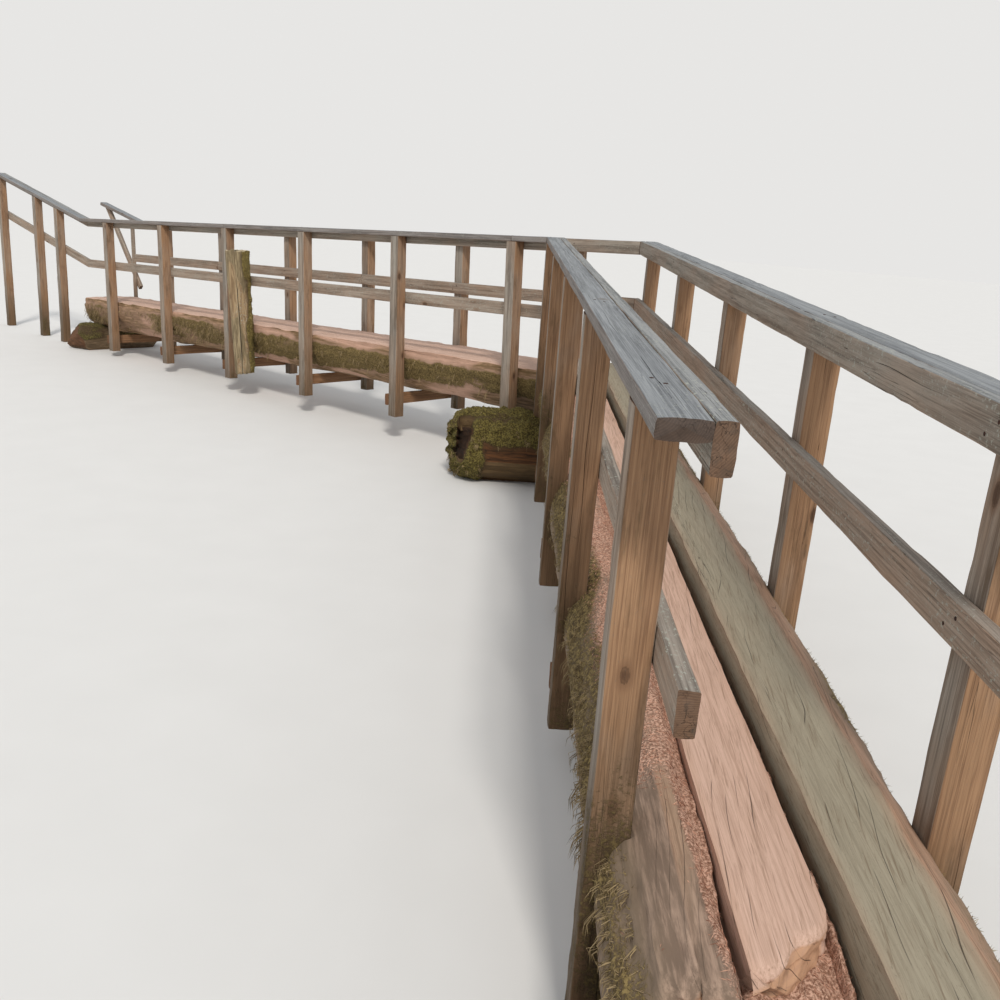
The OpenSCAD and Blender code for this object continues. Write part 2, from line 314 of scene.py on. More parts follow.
@dataclass
class Skin:
    """The points, faces and painted values of a mesh, before Blender has it."""

    points: Array
    quads: Array
    tris: Array
    paint: dict[str, Array] = field(default_factory=dict)

    @staticmethod
    def joined(skins: list["Skin"]) -> "Skin":
        """Puts several skins, which all have the same painted values, into one."""
        starts = np.cumsum([0] + [len(s.points) for s in skins])
        return Skin(
            np.concatenate([s.points for s in skins]),
            np.concatenate([s.quads + start for s, start in zip(skins, starts)]),
            np.concatenate([s.tris + start for s, start in zip(skins, starts)]),
            {name: np.concatenate([s.paint[name] for s in skins]) for name in skins[0].paint},
        )

    def to_object(self, name: str, material: Material, sharp: float = 40.0) -> bpy.types.Object:
        """Makes a Blender object of the skin.

        Args:
            name: The object's name.
            material: Its only material.
            sharp: Edges that turn further than this, in degrees, stay sharp.

        Returns:
            The object, linked to the scene.
        """
        mesh = bpy.data.meshes.new(name)
        corners = np.concatenate([self.quads.ravel(), self.tris.ravel()]).astype(np.int32)
        quad_starts = np.arange(len(self.quads)) * 4
        tri_starts = len(self.quads) * 4 + np.arange(len(self.tris)) * 3
        mesh.vertices.add(len(self.points))
        mesh.vertices.foreach_set("co", self.points.astype(np.float32).ravel())
        mesh.loops.add(len(corners))
        mesh.loops.foreach_set("vertex_index", corners)
        mesh.polygons.add(len(self.quads) + len(self.tris))
        mesh.polygons.foreach_set("loop_start", np.concatenate([quad_starts, tri_starts]).astype(np.int32))
        mesh.update(calc_edges=True)
        mesh.validate()
        for label, values in self.paint.items():
            kind, key = ("FLOAT_VECTOR", "vector") if values.ndim == 2 else ("FLOAT", "value")
            layer = mesh.attributes.new(label, kind, "POINT")
            layer.data.foreach_set(key, values.astype(np.float32).ravel())
        mesh.shade_smooth()
        mesh.set_sharp_from_angle(angle=radians(sharp))
        mesh.materials.append(material)
        thing = bpy.data.objects.new(name, mesh)
        bpy.context.scene.collection.objects.link(thing)
        return thing


@dataclass
class Outline:
    """A cross-section, counter-clockwise, with what the shapes need to know at each point."""

    points: Array
    normals: Array
    side: Array
    edge: Array


@dataclass
class Sweep:
    """A body swept along u between two ends, as one grid of rings that also closes the ends."""

    outline: Outline
    start: list[Cut]
    end: list[Cut]
    step: float
    extra: list[float] = field(default_factory=list)
    cap_rings: int = 5
    chop: float = 0.001
    lip: float = 0.002

    def rings(self) -> tuple[Array, Array, Array]:
        """Lays the rings of the body, without its ends.

        Returns:
            u, v and w of each point, with one row for each ring.
        """
        v, w = self.outline.points.T
        first, last = self._end_u(self.start, v, w, 1), self._end_u(self.end, v, w, -1)
        a, b = first.max() + 2 * self.lip, last.min() - 2 * self.lip
        count = max(2, int((b - a) / self.step))
        stations = np.linspace(a, b, count + 1)
        inner = [s for s in self.extra if a + self.lip < s < b - self.lip]
        stations = np.unique(np.concatenate([stations, inner]))
        lead = max(1, int((a - first.min()) / self.step))
        tail = max(1, int((last.max() - b) / self.step))
        rows = [first, first + self.lip]
        rows += [first + self.lip + (a - first - self.lip) * k / lead for k in range(1, lead)]
        rows += [np.full_like(v, s) for s in stations]
        rows += [b + (last - self.lip - b) * k / tail for k in range(1, tail)]
        rows += [last - self.lip, last]
        u = np.array(rows)
        return u, np.broadcast_to(v, u.shape).copy(), np.broadcast_to(w, u.shape).copy()

    def closed(self, body: Array, hollow: Mask | None = None) -> tuple[Array, Array]:
        """Adds the rings that close both ends.

        Args:
            body: The shaped body's points as u, v and w, one row for each ring.
            hollow: How far a point of the start is eaten in, for points as u, v and w.

        Returns:
            All points, as rows of points, and a row of 1 for each ring on an end.
        """
        shares = 1 - (np.arange(1, self.cap_rings + 1) / (self.cap_rings + 0.35)) ** 0.85
        start_rows, end_rows = [], []
        both = ((start_rows, body[0], self.start, 1), (end_rows, body[-1], self.end, -1))
        for share in shares:
            for rows, ring, cuts, sign in both:
                centre = ring.mean(0)
                moved = centre + (ring - centre) * share
                moved[:, 0] = self._end_u(cuts, moved[:, 1], moved[:, 2], sign)
                if hollow is not None and sign == 1:
                    moved[:, 0] += hollow(moved)
                rows.append(moved)
        grid = np.concatenate([np.array(start_rows[::-1]), body, np.array(end_rows)])
        ends = np.zeros(grid.shape[:2])
        ends[: self.cap_rings + 1] = 1
        ends[-self.cap_rings - 1 :] = 1
        return grid, ends

    def _end_u(self, cuts: list[Cut], v: Array, w: Array, sign: int) -> Array:
        """Where the body starts (sign 1) or ends (sign -1) at v and w, with the marks of the chopping."""
        planes = np.array([cut.u(v, w) for cut in cuts])
        u = planes.max(0) if sign == 1 else planes.min(0)
        places = np.stack([np.full_like(v, sign * 3.7), v, w], -1)
        return u + self.chop * NOISE.at(places, (1, 24, 38), 2) * sign


def ring_quads(index: Array) -> Array:
    """The quads between neighbouring rings, from the points' numbers with one row for each ring."""
    beside = np.roll(index, -1, axis=1)
    return np.stack([index[:-1], beside[:-1], beside[1:], index[1:]], -1).reshape(-1, 4)


def end_fan(ring: Array, tip: int, facing_back: bool) -> Array:
    """The triangles that close the first ring (facing_back) or the last with the point tip."""
    beside = np.roll(ring, -1)
    tips = np.full(len(ring), tip)
    return np.stack([tips, beside, ring] if facing_back else [tips, ring, beside], -1)


def skin_of(grid: Array, paint: dict[str, Array], span: Span, lie: Lie) -> Skin:
    """Turns a grid of rings into a closed skin.

    Args:
        grid: The points as u, v and w, one row for each ring.
        paint: Painted values for each point of the grid.
        span: The span that the piece belongs to.
        lie: How the piece lies in the span.

    Returns:
        The skin, in the frame's axes.
    """
    rows, columns = grid.shape[:2]
    index = np.arange(rows * columns).reshape(rows, columns)
    start, end = rows * columns, rows * columns + 1
    fans = [end_fan(index[0], start, True), end_fan(index[-1], end, False)]
    local = np.concatenate([grid.reshape(-1, 3), grid[0].mean(0)[None], grid[-1].mean(0)[None]])
    points = span.to_frame(lie.in_span(local))
    points[:, 2] = np.maximum(points[:, 2], 0.0)
    painted = {}
    for name, values in paint.items():
        flat = values.reshape(rows * columns, -1)
        flat = np.concatenate([flat, values[0].mean(0).reshape(1, -1), values[-1].mean(0).reshape(1, -1)])
        painted[name] = flat if values.ndim == 3 else flat[:, 0]
    return Skin(points, ring_quads(index), np.concatenate(fans), painted)


def new_paint(grid: Array, ends: Array, heart: Array, offset: float, tone: float) -> dict[str, Array]:
    """Starts the painted values of a body that nothing has grown on or worn yet.

    Args:
        grid: The points as u, v and w, one row for each ring.
        ends: 1 for each point of an end.
        heart: Where the heart of the tree lies, as v and w.
        offset: Shifts the grain along the body, so that no two look the same.
        tone: How dark the piece is among its kind, from 0 to 1.

    Returns:
        The painted values.
    """
    shape = grid.shape[:2]
    paint = {name: np.zeros(shape) for name in ("crack", "worn", "moss", "duff", "bark", "grey", "sky")}
    paint["end"] = ends
    paint["tone"] = np.full(shape, tone)
    paint["grain"] = grid - np.array([0, *heart]) + np.array([offset, 0, 0])
    return paint


@dataclass
class Crack:
    """A drying crack that runs along one side of a sawn timber."""

    side: int
    place: float
    first: float
    last: float
    half: float
    depth: float

    def gape(self, u: Array) -> Array:
        """How far it stands open: 1 halfway along it, and 0 at its ends and beyond."""
        return np.sin(pi * np.clip((u - self.first) / (self.last - self.first), 0, 1)) ** 0.6


@dataclass
class Timber:
    """A sawn timber: a box with worn edges, drying cracks, a slight bow and rough ends.

    Sides are numbered 0 for +v, 1 for +w, 2 for -v and 3 for -w.
    """

    name: str
    low: Array
    high: Array
    start: list[Cut]
    end: list[Cut]
    greys: Greys
    step: float = 0.03
    rim: float = 0.003
    wear: float = 0.0022
    columns: int = 5
    cracks: int = 3
    crack_depth: float = 0.006
    crack_wander: float = 0.004
    splinter: float = 0.004
    saw_marks: float = 0.0003
    bow: float = 0.002
    chop: float = 0.0012
    silver: float = 0.0
    narrow: float = 0.05
    damp: Mask | None = None

    def skin(self, span: Span, lie: Lie) -> Skin:
        """Builds the timber.

        Args:
            span: The span that it belongs to.
            lie: How it lies in the span.

        Returns:
            Its skin.
        """
        rng = seeded(self.name)
        cracks = self._cracks(rng)
        outline, tracks = self._outline(cracks)
        sweep = Sweep(outline, self.start, self.end, self.step, chop=self.chop)
        u, v, w = sweep.rings()
        offset = rng.uniform(0, 50)
        here = np.stack([u + offset, v, w], -1)
        pull = self._worn(outline.edge, here)
        crack = np.zeros_like(u)
        for number, (item, across) in enumerate(zip(cracks, tracks)):
            gape = item.gape(u) * (0.75 + 0.25 * NOISE.at(here, (14, 1, 1)))
            middle = (across == 0) & (outline.side == item.side)
            pull = pull + middle * gape * item.depth
            crack = crack + middle * gape
            on_track = (np.abs(across) <= 1) & (outline.side == item.side)
            line = np.stack([u, u * 0, u * 0 + number + offset], -1)
            wander = self.crack_wander * NOISE.at(line, (5, 1, 1), 2)
            shift = on_track * (wander + across * item.half * (gape - 1) * 0.7)
            v = v - shift * outline.normals[:, 1]
            w = w + shift * outline.normals[:, 0]
        v = v - pull * outline.normals[:, 0]
        w = w - pull * outline.normals[:, 1]
        phase, spread = rng.uniform(0, 6.3, 2), self.high - self.low
        along = (u - self.low[0]) / spread[0]
        v = v + self._bend(along, self.bow, 1.3, phase[0])
        w = w + self._bend(along, self.bow * 0.4, 1.7, phase[1])
        grid, ends = sweep.closed(np.stack([u, v, w], -1))
        paint = new_paint(grid, ends, self._pith(rng, spread), offset, rng.uniform(0, 1))
        body = slice(sweep.cap_rings, -sweep.cap_rings)
        # Where the cracks gape; the finish paints shadow into them.
        paint["crack"][body] = np.clip(crack, 0, 1)
        paint["worn"][body] = outline.edge * np.clip(0.6 + 0.6 * NOISE.at(here, (7, 3, 3), 2), 0, 1)
        paint["grey"] = np.broadcast_to(np.array(self.greys)[outline.side], ends.shape) * (1 - 0.4 * ends)
        paint["sky"] = np.broadcast_to(self.silver * (outline.side == 1), ends.shape) * (1 - ends)
        if self.damp is not None:
            paint["moss"] = self.damp(lie.in_span(grid))
        return skin_of(grid, paint, span, lie)

    def _worn(self, edge: Array, here: Array) -> Array:
        """How much wear, splinters and the saw have taken off at each point."""
        rounded = edge * self.wear * (1 + NOISE.at(here, (5, 9, 9), 2))
        splintered = edge * self.splinter * ease(NOISE.at(here, (11, 6, 6), 2), 0.55, 0.9)
        return rounded + splintered + self.saw_marks * NOISE.at(here, (9, 130, 130))

    @staticmethod
    def _bend(along: Array, bow: float, waves: float, phase: float) -> Array:
        """How far the timber has bent, for places from 0 at its start to 1 at its end."""
        return bow * np.sin(pi * along * waves + phase) * along * (1 - along) * 3

    @staticmethod
    def _pith(rng: np.random.Generator, spread: Array) -> Array:
        """Where the heart of the tree lay from the middle of the timber."""
        turn = rng.uniform(0, 2 * pi)
        return rng.uniform(0.6, 2.2) * max(spread[1:]) * np.array([cos(turn), sin(turn)])

    def _width(self, side: int) -> float:
        """How wide a side is."""
        axis = 2 if side in (0, 2) else 1
        return self.high[axis] - self.low[axis]

    def _cracks(self, rng: np.random.Generator) -> list[Crack]:
        """Chooses where the timber has dried open. The first crack is on side 0 unless it is narrow."""
        length = self.high[0] - self.low[0]
        found = []
        for number in range(self.cracks):
            side = int(rng.integers(0, 4)) if number else 0
            if self._width(side) < self.narrow:
                side = (side + 1) % 4
            wide = self._width(side)
            size = rng.uniform(0.18, 0.5) * min(length, 1.6)
            first = self.low[0] + rng.uniform(-0.1, 0.9) * length
            found.append(Crack(
                side, rng.uniform(-0.32, 0.32) * wide, first, first + size,
                rng.uniform(0.0006, 0.0016), rng.uniform(0.5, 1.0) * self.crack_depth,
            ))
        return found

    def _outline(self, cracks: list[Crack]) -> tuple[Outline, list[Array]]:
        """Draws the section, with columns on each crack's line.

        Args:
            cracks: The timber's cracks.

        Returns:
            The section, and for each crack how many half-widths each point lies from its line.
        """
        half = (self.high[1:] - self.low[1:]) / 2
        centre = (self.high[1:] + self.low[1:]) / 2
        outward = np.array([[1, 0], [0, 1], [-1, 0], [0, -1]], float)
        onward = np.array([[0, 1], [-1, 0], [0, -1], [1, 0]], float)
        points, normals, sides, edges = [], [], [], []
        tracks = [[] for _ in cracks]
        same, off_track = 1e-6, 9
        for side in range(4):
            reach = abs(outward[side]) @ half
            run = abs(onward[side]) @ half - self.rim
            places = [(p, None) for p in np.linspace(-run, run, self.columns)]
            for number, item in enumerate(cracks):
                if item.side == side:
                    near = 3.2 * item.half
                    places = [
                        (p, tag) for p, tag in places
                        if tag or abs(p - item.place) > near or abs(p) > run - same
                    ]
                    places += [(item.place + k * item.half, (number, k)) for k in (-1, 0, 1)]
            for place, tag in sorted(places, key=lambda entry: entry[0]):
                points.append(centre + outward[side] * reach + onward[side] * place)
                normals.append(outward[side])
                sides.append(side)
                edges.append(0.5 if abs(abs(place) - run) < same else 0.0)
                for number, track in enumerate(tracks):
                    track.append(tag[1] if tag and tag[0] == number else off_track)
            corner = centre + outward[side] * (reach - self.rim) + onward[side] * run
            for turn in (pi / 6, pi / 3):
                normal = outward[side] * cos(turn) + onward[side] * sin(turn)
                points.append(corner + normal * self.rim)
                normals.append(normal)
                sides.append(side if turn < pi / 4 else (side + 1) % 4)
                edges.append(1.0)
                for track in tracks:
                    track.append(off_track)
        outline = Outline(np.array(points), np.array(normals), np.array(sides), np.array(edges))
        return outline, [np.array(track) for track in tracks]


@dataclass(frozen=True)
class Flat:
    """A hewn face along a log: the wood stays where v * across + w * up is below limit."""

    across: float
    up: float
    limit: float


def round_reach(ray: Array, inside: Array, centre: Pair, radius: float) -> tuple[Array, Array]:
    """Where rays from a point pass into and out of a round.

    Args:
        ray: The rays' directions.
        inside: The point that they start from.
        centre: The middle of the round.
        radius: Its radius.

    Returns:
        How far along each ray it goes in and out, or nan where it misses.
    """
    away = np.array(centre) - inside
    along = ray @ away
    room = along ** 2 + radius ** 2 - away @ away
    half = np.sqrt(np.where(room > 0, room, np.nan))
    return along - half, along + half


@dataclass(frozen=True)
class Pocket:
    """A trough cut along a log for its neighbour: the neighbour's round, between two planes."""

    centre: Pair
    radius: float
    low: float
    high: float

    def reach(self, ray: Array, inside: Array) -> Array:
        """How far each ray goes from a point before it meets the trough.

        Args:
            ray: The rays' directions.
            inside: The point that they start from.

        Returns:
            The distances, with a large number where a ray misses.
        """
        enter, leave = round_reach(ray, inside, self.centre, self.radius)
        slope = np.where(np.abs(ray[:, 0]) < TINY, TINY, ray[:, 0])
        planes = np.stack([(self.low - inside[0]) / slope, (self.high - inside[0]) / slope])
        enter = np.maximum(enter, planes.min(0))
        leave = np.minimum(leave, planes.max(0))
        return np.where((enter < leave) & (enter > 0), enter, FAR_AWAY)


@dataclass
class Log:
    """A round log with hewn faces, rough bark or sapwood between them, and chopped ends."""

    name: str
    heart: Pair
    radii: Pair
    flats: list[Flat]
    start: list[Cut]
    end: list[Cut]
    inside: Pair
    columns: int = 120
    step: float = 0.02
    rough: float = 0.008
    hew: float = 0.0035
    edge: float = 0.007
    chop: float = 0.008
    cap_rings: int = 9
    floor_flat: int = -1
    moss: Mask | None = None
    duff: Mask | None = None
    bare: Mask | None = None
    hollow: Mask | None = None
    notches: list[Notch] = field(default_factory=list)
    pocket: Pocket | None = None
    sink: Mask | None = None
    blunt: float = 0.012
    mossy_ends: float = 0.0
    edge_width: float = 0.012
    flake: float = 0.0
    greyness: float = 1.0
    shag: float = 0.009
    cushion: float = 0.004
    pit: Mask | None = None
    rot: Mask | None = None
    rot_depth: float = 0.012
    notch_edge: float = 0.0006
    rays: int = 5760

    def skin(self, span: Span, lie: Lie) -> Skin:
        """Builds the log.

        Args:
            span: The span that it belongs to.
            lie: How it lies in the span.

        Returns:
            Its skin.
        """
        rng = seeded(self.name)
        outline = self._outline()
        notch_ends = [place for notch in self.notches for place in notch[:2]]
        edges = [place + d for place in notch_ends for d in (-self.notch_edge, self.notch_edge)]
        sweep = Sweep(outline, self.start, self.end, self.step, edges, self.cap_rings, self.chop)
        u, v, w = sweep.rings()
        offset = rng.uniform(0, 50)
        masks = self._masks(lie.in_span(np.stack([u, v, w], -1)))
        out = self._relief(outline, u, np.stack([u + offset, v, w], -1), masks)
        v = v + out * outline.normals[:, 0]
        w = w + out * outline.normals[:, 1]
        for first, last, sign, limit in self.notches:
            v = np.where((u > first) & (u < last) & (sign * v > sign * limit), limit, v)
        if self.sink is not None:
            drop = self.sink(lie.in_span(np.stack([u, v, w], -1)))
            v, w = (v - drop, w) if lie is Lie.ACROSS else (v, w - drop)
        grid, ends = sweep.closed(np.stack([u, v, w], -1), self.hollow)
        paint = new_paint(grid, ends, self.heart, offset, rng.uniform(0, 1))
        body = slice(sweep.cap_rings, -sweep.cap_rings)
        hewn = (outline.side >= 0).astype(float)
        if self.moss is not None:
            share = 1 - ends * (1 - self.mossy_ends)
            paint["moss"] = np.clip(self.moss(lie.in_span(grid)), 0, 1) * share
            paint["moss"][body] *= 1 - np.clip(masks["pit"] / 0.02, 0, 1)
        paint["bark"][body] = np.maximum((1 - hewn) * (1 - masks["bare"]), masks["rot"])
        paint["duff"][body] = masks["duff"]
        paint["worn"][body] = outline.edge
        paint["grey"][body] = hewn * self.greyness
        # The crack value marks the cleft and, at the ends, the rotten hole; the finish paints shadow into
        # both.
        paint["crack"][body] = np.clip(masks["pit"] / 0.12, 0, 1)
        if self.hollow is not None:
            paint["crack"] += np.clip(self.hollow(grid) / 0.05, 0, 1) * ends
        return skin_of(grid, paint, span, lie)

    def _masks(self, places: Array) -> dict[str, Array]:
        """What covers or eats the log at places in the span's axes, from 0 to 1 for each mask."""
        found = {}
        for name in ("moss", "duff", "bare", "rot", "pit"):
            mask = getattr(self, name)
            found[name] = np.zeros(places.shape[:-1]) if mask is None else np.clip(mask(places), 0, 1)
        return found

    def _relief(self, outline: Outline, u: Array, here: Array, masks: dict[str, Array]) -> Array:
        """Works out the log's relief: taper, bark, marks of the axe, moss, rot and litter.

        Args:
            outline: The section.
            u: The place of each point along the log.
            here: The points, shifted to this log's own stretch of the noise.
            masks: What covers or eats the log.

        Returns:
            How far each point stands out from the section.
        """
        hewn = (outline.side >= 0).astype(float)
        bark = 1 - hewn
        calm = 1 - outline.edge
        lumps = NOISE.at(here, (2.3, 6, 6), 3)
        fur = NOISE.at(here, (3.5, 42, 42), 2)
        chips = 0.7 * NOISE.at(here, (7, 13, 13), 2) + 0.5 * NOISE.at(here, (2.1, 5, 5))
        rag = np.clip(0.6 + 0.7 * NOISE.at(here, (6, 11, 11), 3), 0, 2)
        tuft = 0.5 + 0.5 * NOISE.at(here, (26, 26, 26), 3)
        hang = NOISE.at(here, (24, 5, 5), 2)
        crumbling = 1 + NOISE.at(here, (5, 30, 30), 3)
        out = (self.radii[1] - self.radii[0]) * ((u - u.min()) / np.ptp(u) - 0.5) * bark
        out += bark * calm * self.rough * (0.9 * lumps + 0.35 * fur - 0.7)
        out -= hewn * calm * self.hew * (1.0 + chips)
        out -= outline.edge * self.edge * rag
        out += masks["moss"] * (self.cushion * (1 + 3 * tuft) + self.shag * hang)
        out -= masks["rot"] * self.rot_depth * crumbling
        out -= masks["bare"] * bark * calm * self.flake
        out -= masks["pit"]
        out += masks["duff"] * (0.003 + 0.006 * tuft)
        if self.floor_flat >= 0:
            out = np.where(outline.side == self.floor_flat, 0.0, out)
        turn_in = np.clip(1 - np.minimum(u - u[0], u[-1] - u) / self.blunt, 0, 1)
        return out - self.blunt * (1 - np.sqrt(1 - turn_in ** 2)) * (0.8 + 0.5 * lumps)

    def _outline(self) -> Outline:
        """Cuts the hewn faces off the round and spreads the points evenly round what is left."""
        turn = np.linspace(0, 2 * pi, self.rays, endpoint=False)
        ray = np.stack([np.cos(turn), np.sin(turn)], -1)
        inside = np.array(self.inside)
        far = round_reach(ray, inside, self.heart, sum(self.radii) / 2)[1]
        side = np.full(len(turn), -1)
        for number, flat in enumerate(self.flats):
            slope = ray @ np.array([flat.across, flat.up])
            room = flat.limit - flat.across * inside[0] - flat.up * inside[1]
            reach = np.where(slope > TINY, room / np.maximum(slope, TINY), FAR_AWAY)
            side = np.where(reach < far, number, side)
            far = np.minimum(far, reach)
        if self.pocket is not None:
            reach = self.pocket.reach(ray, inside)
            side = np.where(reach < far, len(self.flats), side)
            far = np.minimum(far, reach)
        points = inside + ray * far[:, None]
        closed = np.concatenate([points, points[:1]])
        length = np.concatenate([[0], np.cumsum(np.linalg.norm(np.diff(closed, axis=0), axis=1))])
        wanted = np.arange(self.columns) * length[-1] / self.columns
        change = length[np.flatnonzero(side != np.roll(side, 1))]
        for corner in change:
            wanted[np.argmin(np.abs(wanted - corner))] = corner
        gaps = np.abs(wanted[:, None] - change[None])
        gaps = np.minimum(gaps, length[-1] - gaps)
        edge = np.exp(-(gaps.min(1) / self.edge_width) ** 2) if len(change) else np.zeros(self.columns)
        kept = np.stack([np.interp(wanted, length, closed[:, axis]) for axis in range(2)], -1)
        onward = np.roll(kept, -1, 0) - np.roll(kept, 1, 0)
        normals = np.stack([onward[:, 1], -onward[:, 0]], -1)
        normals /= np.linalg.norm(normals, axis=1)[:, None]
        chosen = np.searchsorted(length, wanted - TINY) % len(points)
        return Outline(kept, normals, side[chosen], edge)


class Value:
    """A socket of a shader graph, with the arithmetic that the finishes use."""

    def __init__(self, graph: "Graph", socket: bpy.types.NodeSocket) -> None:
        """Wraps the socket."""
        self.graph = graph
        self.socket = socket

    def out(self, name: str) -> "Value":
        """Another output of the same node."""
        return Value(self.graph, self.socket.node.outputs[name])

    def _math(self, operation: str, first: "Value | float", second: "Value | float") -> "Value":
        """Adds a Math node."""
        return self.graph.node("Math", {"operation": operation}, {0: first, 1: second})

    def __add__(self, other: "Value | float") -> "Value":
        """The sum."""
        return self._math("ADD", self, other)

    __radd__ = __add__

    def __sub__(self, other: "Value | float") -> "Value":
        """This less the other."""
        return self._math("SUBTRACT", self, other)

    def __rsub__(self, other: float) -> "Value":
        """The other less this."""
        return self._math("SUBTRACT", other, self)

    def __mul__(self, other: "Value | float") -> "Value":
        """The product."""
        return self._math("MULTIPLY", self, other)

    __rmul__ = __mul__

    def above(self, low: float, high: float) -> "Value":
        """Rises smoothly from 0 at low to 1 at high, or falls if low is the larger."""
        settings = {"interpolation_type": "SMOOTHSTEP", "clamp": True}
        ends = (low, high, 0.0, 1.0) if low < high else (high, low, 1.0, 0.0)
        return self.graph.node("MapRange", settings, {0: self} | dict(enumerate(ends, 1)))

    def size(self) -> "Value":
        """The number without its sign."""
        return self._math("ABSOLUTE", self, 0.0)

    def wave(self) -> "Value":
        """The sine."""
        return self._math("SINE", self, 0.0)

    def turn_to(self, other: "Value") -> "Value":
        """The angle whose tangent is this over the other."""
        return self._math("ARCTAN2", self, other)

    def most(self, other: "Value") -> "Value":
        """The larger of the two."""
        return self._math("MAXIMUM", self, other)

    def limited(self) -> "Value":
        """The number kept from 0 to 1."""
        return self.graph.node("Clamp", {}, {0: self})


class Graph:
    """The shader graph of one material."""

    gloss = 0.25

    def __init__(self, name: str) -> None:
        """Makes the material with its plain surface shader."""
        self.material = bpy.data.materials.new(name)
        self.material.use_nodes = True
        self.tree = self.material.node_tree
        self.shader = next(n for n in self.tree.nodes if n.type == "BSDF_PRINCIPLED")

    def node(self, kind: str, settings: dict[str, object], inputs: dict[int | str, object]) -> Value:
        """Adds a node.

        Args:
            kind: The node's type, without the word ShaderNode.
            settings: Its properties, which are set first.
            inputs: A value or a link for each named or numbered socket.

        Returns:
            Its first output that is in use.
        """
        made = self.tree.nodes.new(f"ShaderNode{kind}")
        for key, value in settings.items():
            setattr(made, key, value)
        for key, value in inputs.items():
            self.feed(made.inputs[key], value)
        return Value(self, next(o for o in made.outputs if o.enabled))

    def feed(self, socket: bpy.types.NodeSocket, value: object) -> None:
        """Links a socket or sets its value."""
        if isinstance(value, Value):
            self.tree.links.new(value.socket, socket)
        elif isinstance(value, tuple) and len(value) == 3 and socket.type == "RGBA":
            socket.default_value = (*value, 1.0)
        else:
            socket.default_value = value

    def painted(self, name: str) -> Value:
        """A value that the mesh carries at its points."""
        return self.node("Attribute", {"attribute_name": name}, {}).out("Fac")

    def grain(self) -> Value:
        """The place in the tree that a point was cut from: along, and across from the heart."""
        return self.node("Attribute", {"attribute_name": "grain"}, {}).out("Vector")

    def along(self, vector: Value, way: Triple) -> Value:
        """How far a vector reaches along a way."""
        dot = self.node("VectorMath", {"operation": "DOT_PRODUCT"}, {0: vector, 1: way})
        return dot.out("Value")

    def scaled(self, vector: Value, by: Triple) -> Value:
        """A vector with each part multiplied."""
        return self.node("VectorMath", {"operation": "MULTIPLY"}, {0: vector, 1: by})

    def noise(self, vector: Value, scale: Triple, detail: float = 2.0, rough: float = 0.5) -> Value:
        """Noise about 0.5, with its own scale along each axis, in cells for each metre."""
        inputs = {"Vector": self.scaled(vector, scale), "Scale": 1.0, "Detail": detail, "Roughness": rough}
        return self.node("TexNoise", {}, inputs)

    def mixed(self, first: object, second: object, share: Value | float) -> Value:
        """Mixes two colours."""
        settings = {"data_type": "RGBA", "blend_type": "MIX", "clamp_factor": True}
        return self.node("Mix", settings, {0: share, 6: first, 7: second})

    def finish(self, colour: object, roughness: object, height: Value | None = None,
               depth: float = 0.0) -> Material:
        """Feeds the surface shader.

        Args:
            colour: The base colour.
            roughness: The roughness.
            height: What the bump follows, or None.
            depth: How far the bump reaches, in metres.

        Returns:
            The material.
        """
        self.feed(self.shader.inputs["Base Color"], colour)
        self.feed(self.shader.inputs["Roughness"], roughness)
        self.shader.inputs["Specular IOR Level"].default_value = self.gloss
        if height is not None:
            bump = self.node("Bump", {}, {"Strength": 1.0, "Distance": depth, "Height": height})
            self.feed(self.shader.inputs["Normal"], bump)
        return self.material


class WorldGraph(Graph):
    """The shader graph of the world."""

    def __init__(self, name: str) -> None:
        """Makes the world and lights the scene with it."""
        world = bpy.data.worlds.new(name)
        world.use_nodes = True
        bpy.context.scene.world = world
        self.tree = world.node_tree
        self.output = next(n for n in self.tree.nodes if n.type == "OUTPUT_WORLD")
        self.tree.nodes.remove(next(n for n in self.tree.nodes if n.type == "BACKGROUND"))


class WoodGraph(Graph):
    """A graph with the patterns that all kinds of wood share."""

    def __init__(self, name: str, ring: float) -> None:
        """Lays out the grain, with rings as thick as ring, in metres."""
        super().__init__(name)
        self.place = self.grain()
        self.end, self.crack, self.worn, self.sky = map(self.painted, ("end", "crack", "worn", "sky"))
        self.fibre = self.noise(self.place, (9, 420, 420), 2.0, 0.6)
        self.line = self.noise(self.place, (2.2, 150, 150), 3.0, 0.7)
        self.streak = self.noise(self.place, (1.3, 44, 44), 5.0, 0.72)
        self.patch = self.noise(self.place, (2.2, 7, 7), 3.0, 0.6)
        wander = self.noise(self.place, (1.6, 9, 9), 2.0) - 0.5
        flat = self.scaled(self.place, (0.0, 1.0, 1.0))
        radius = self.node("VectorMath", {"operation": "LENGTH"}, {0: flat}).out("Value")
        self.rings = ((radius + wander * 0.022) * (2 * pi / ring)).wave().above(-0.2, 1.0)


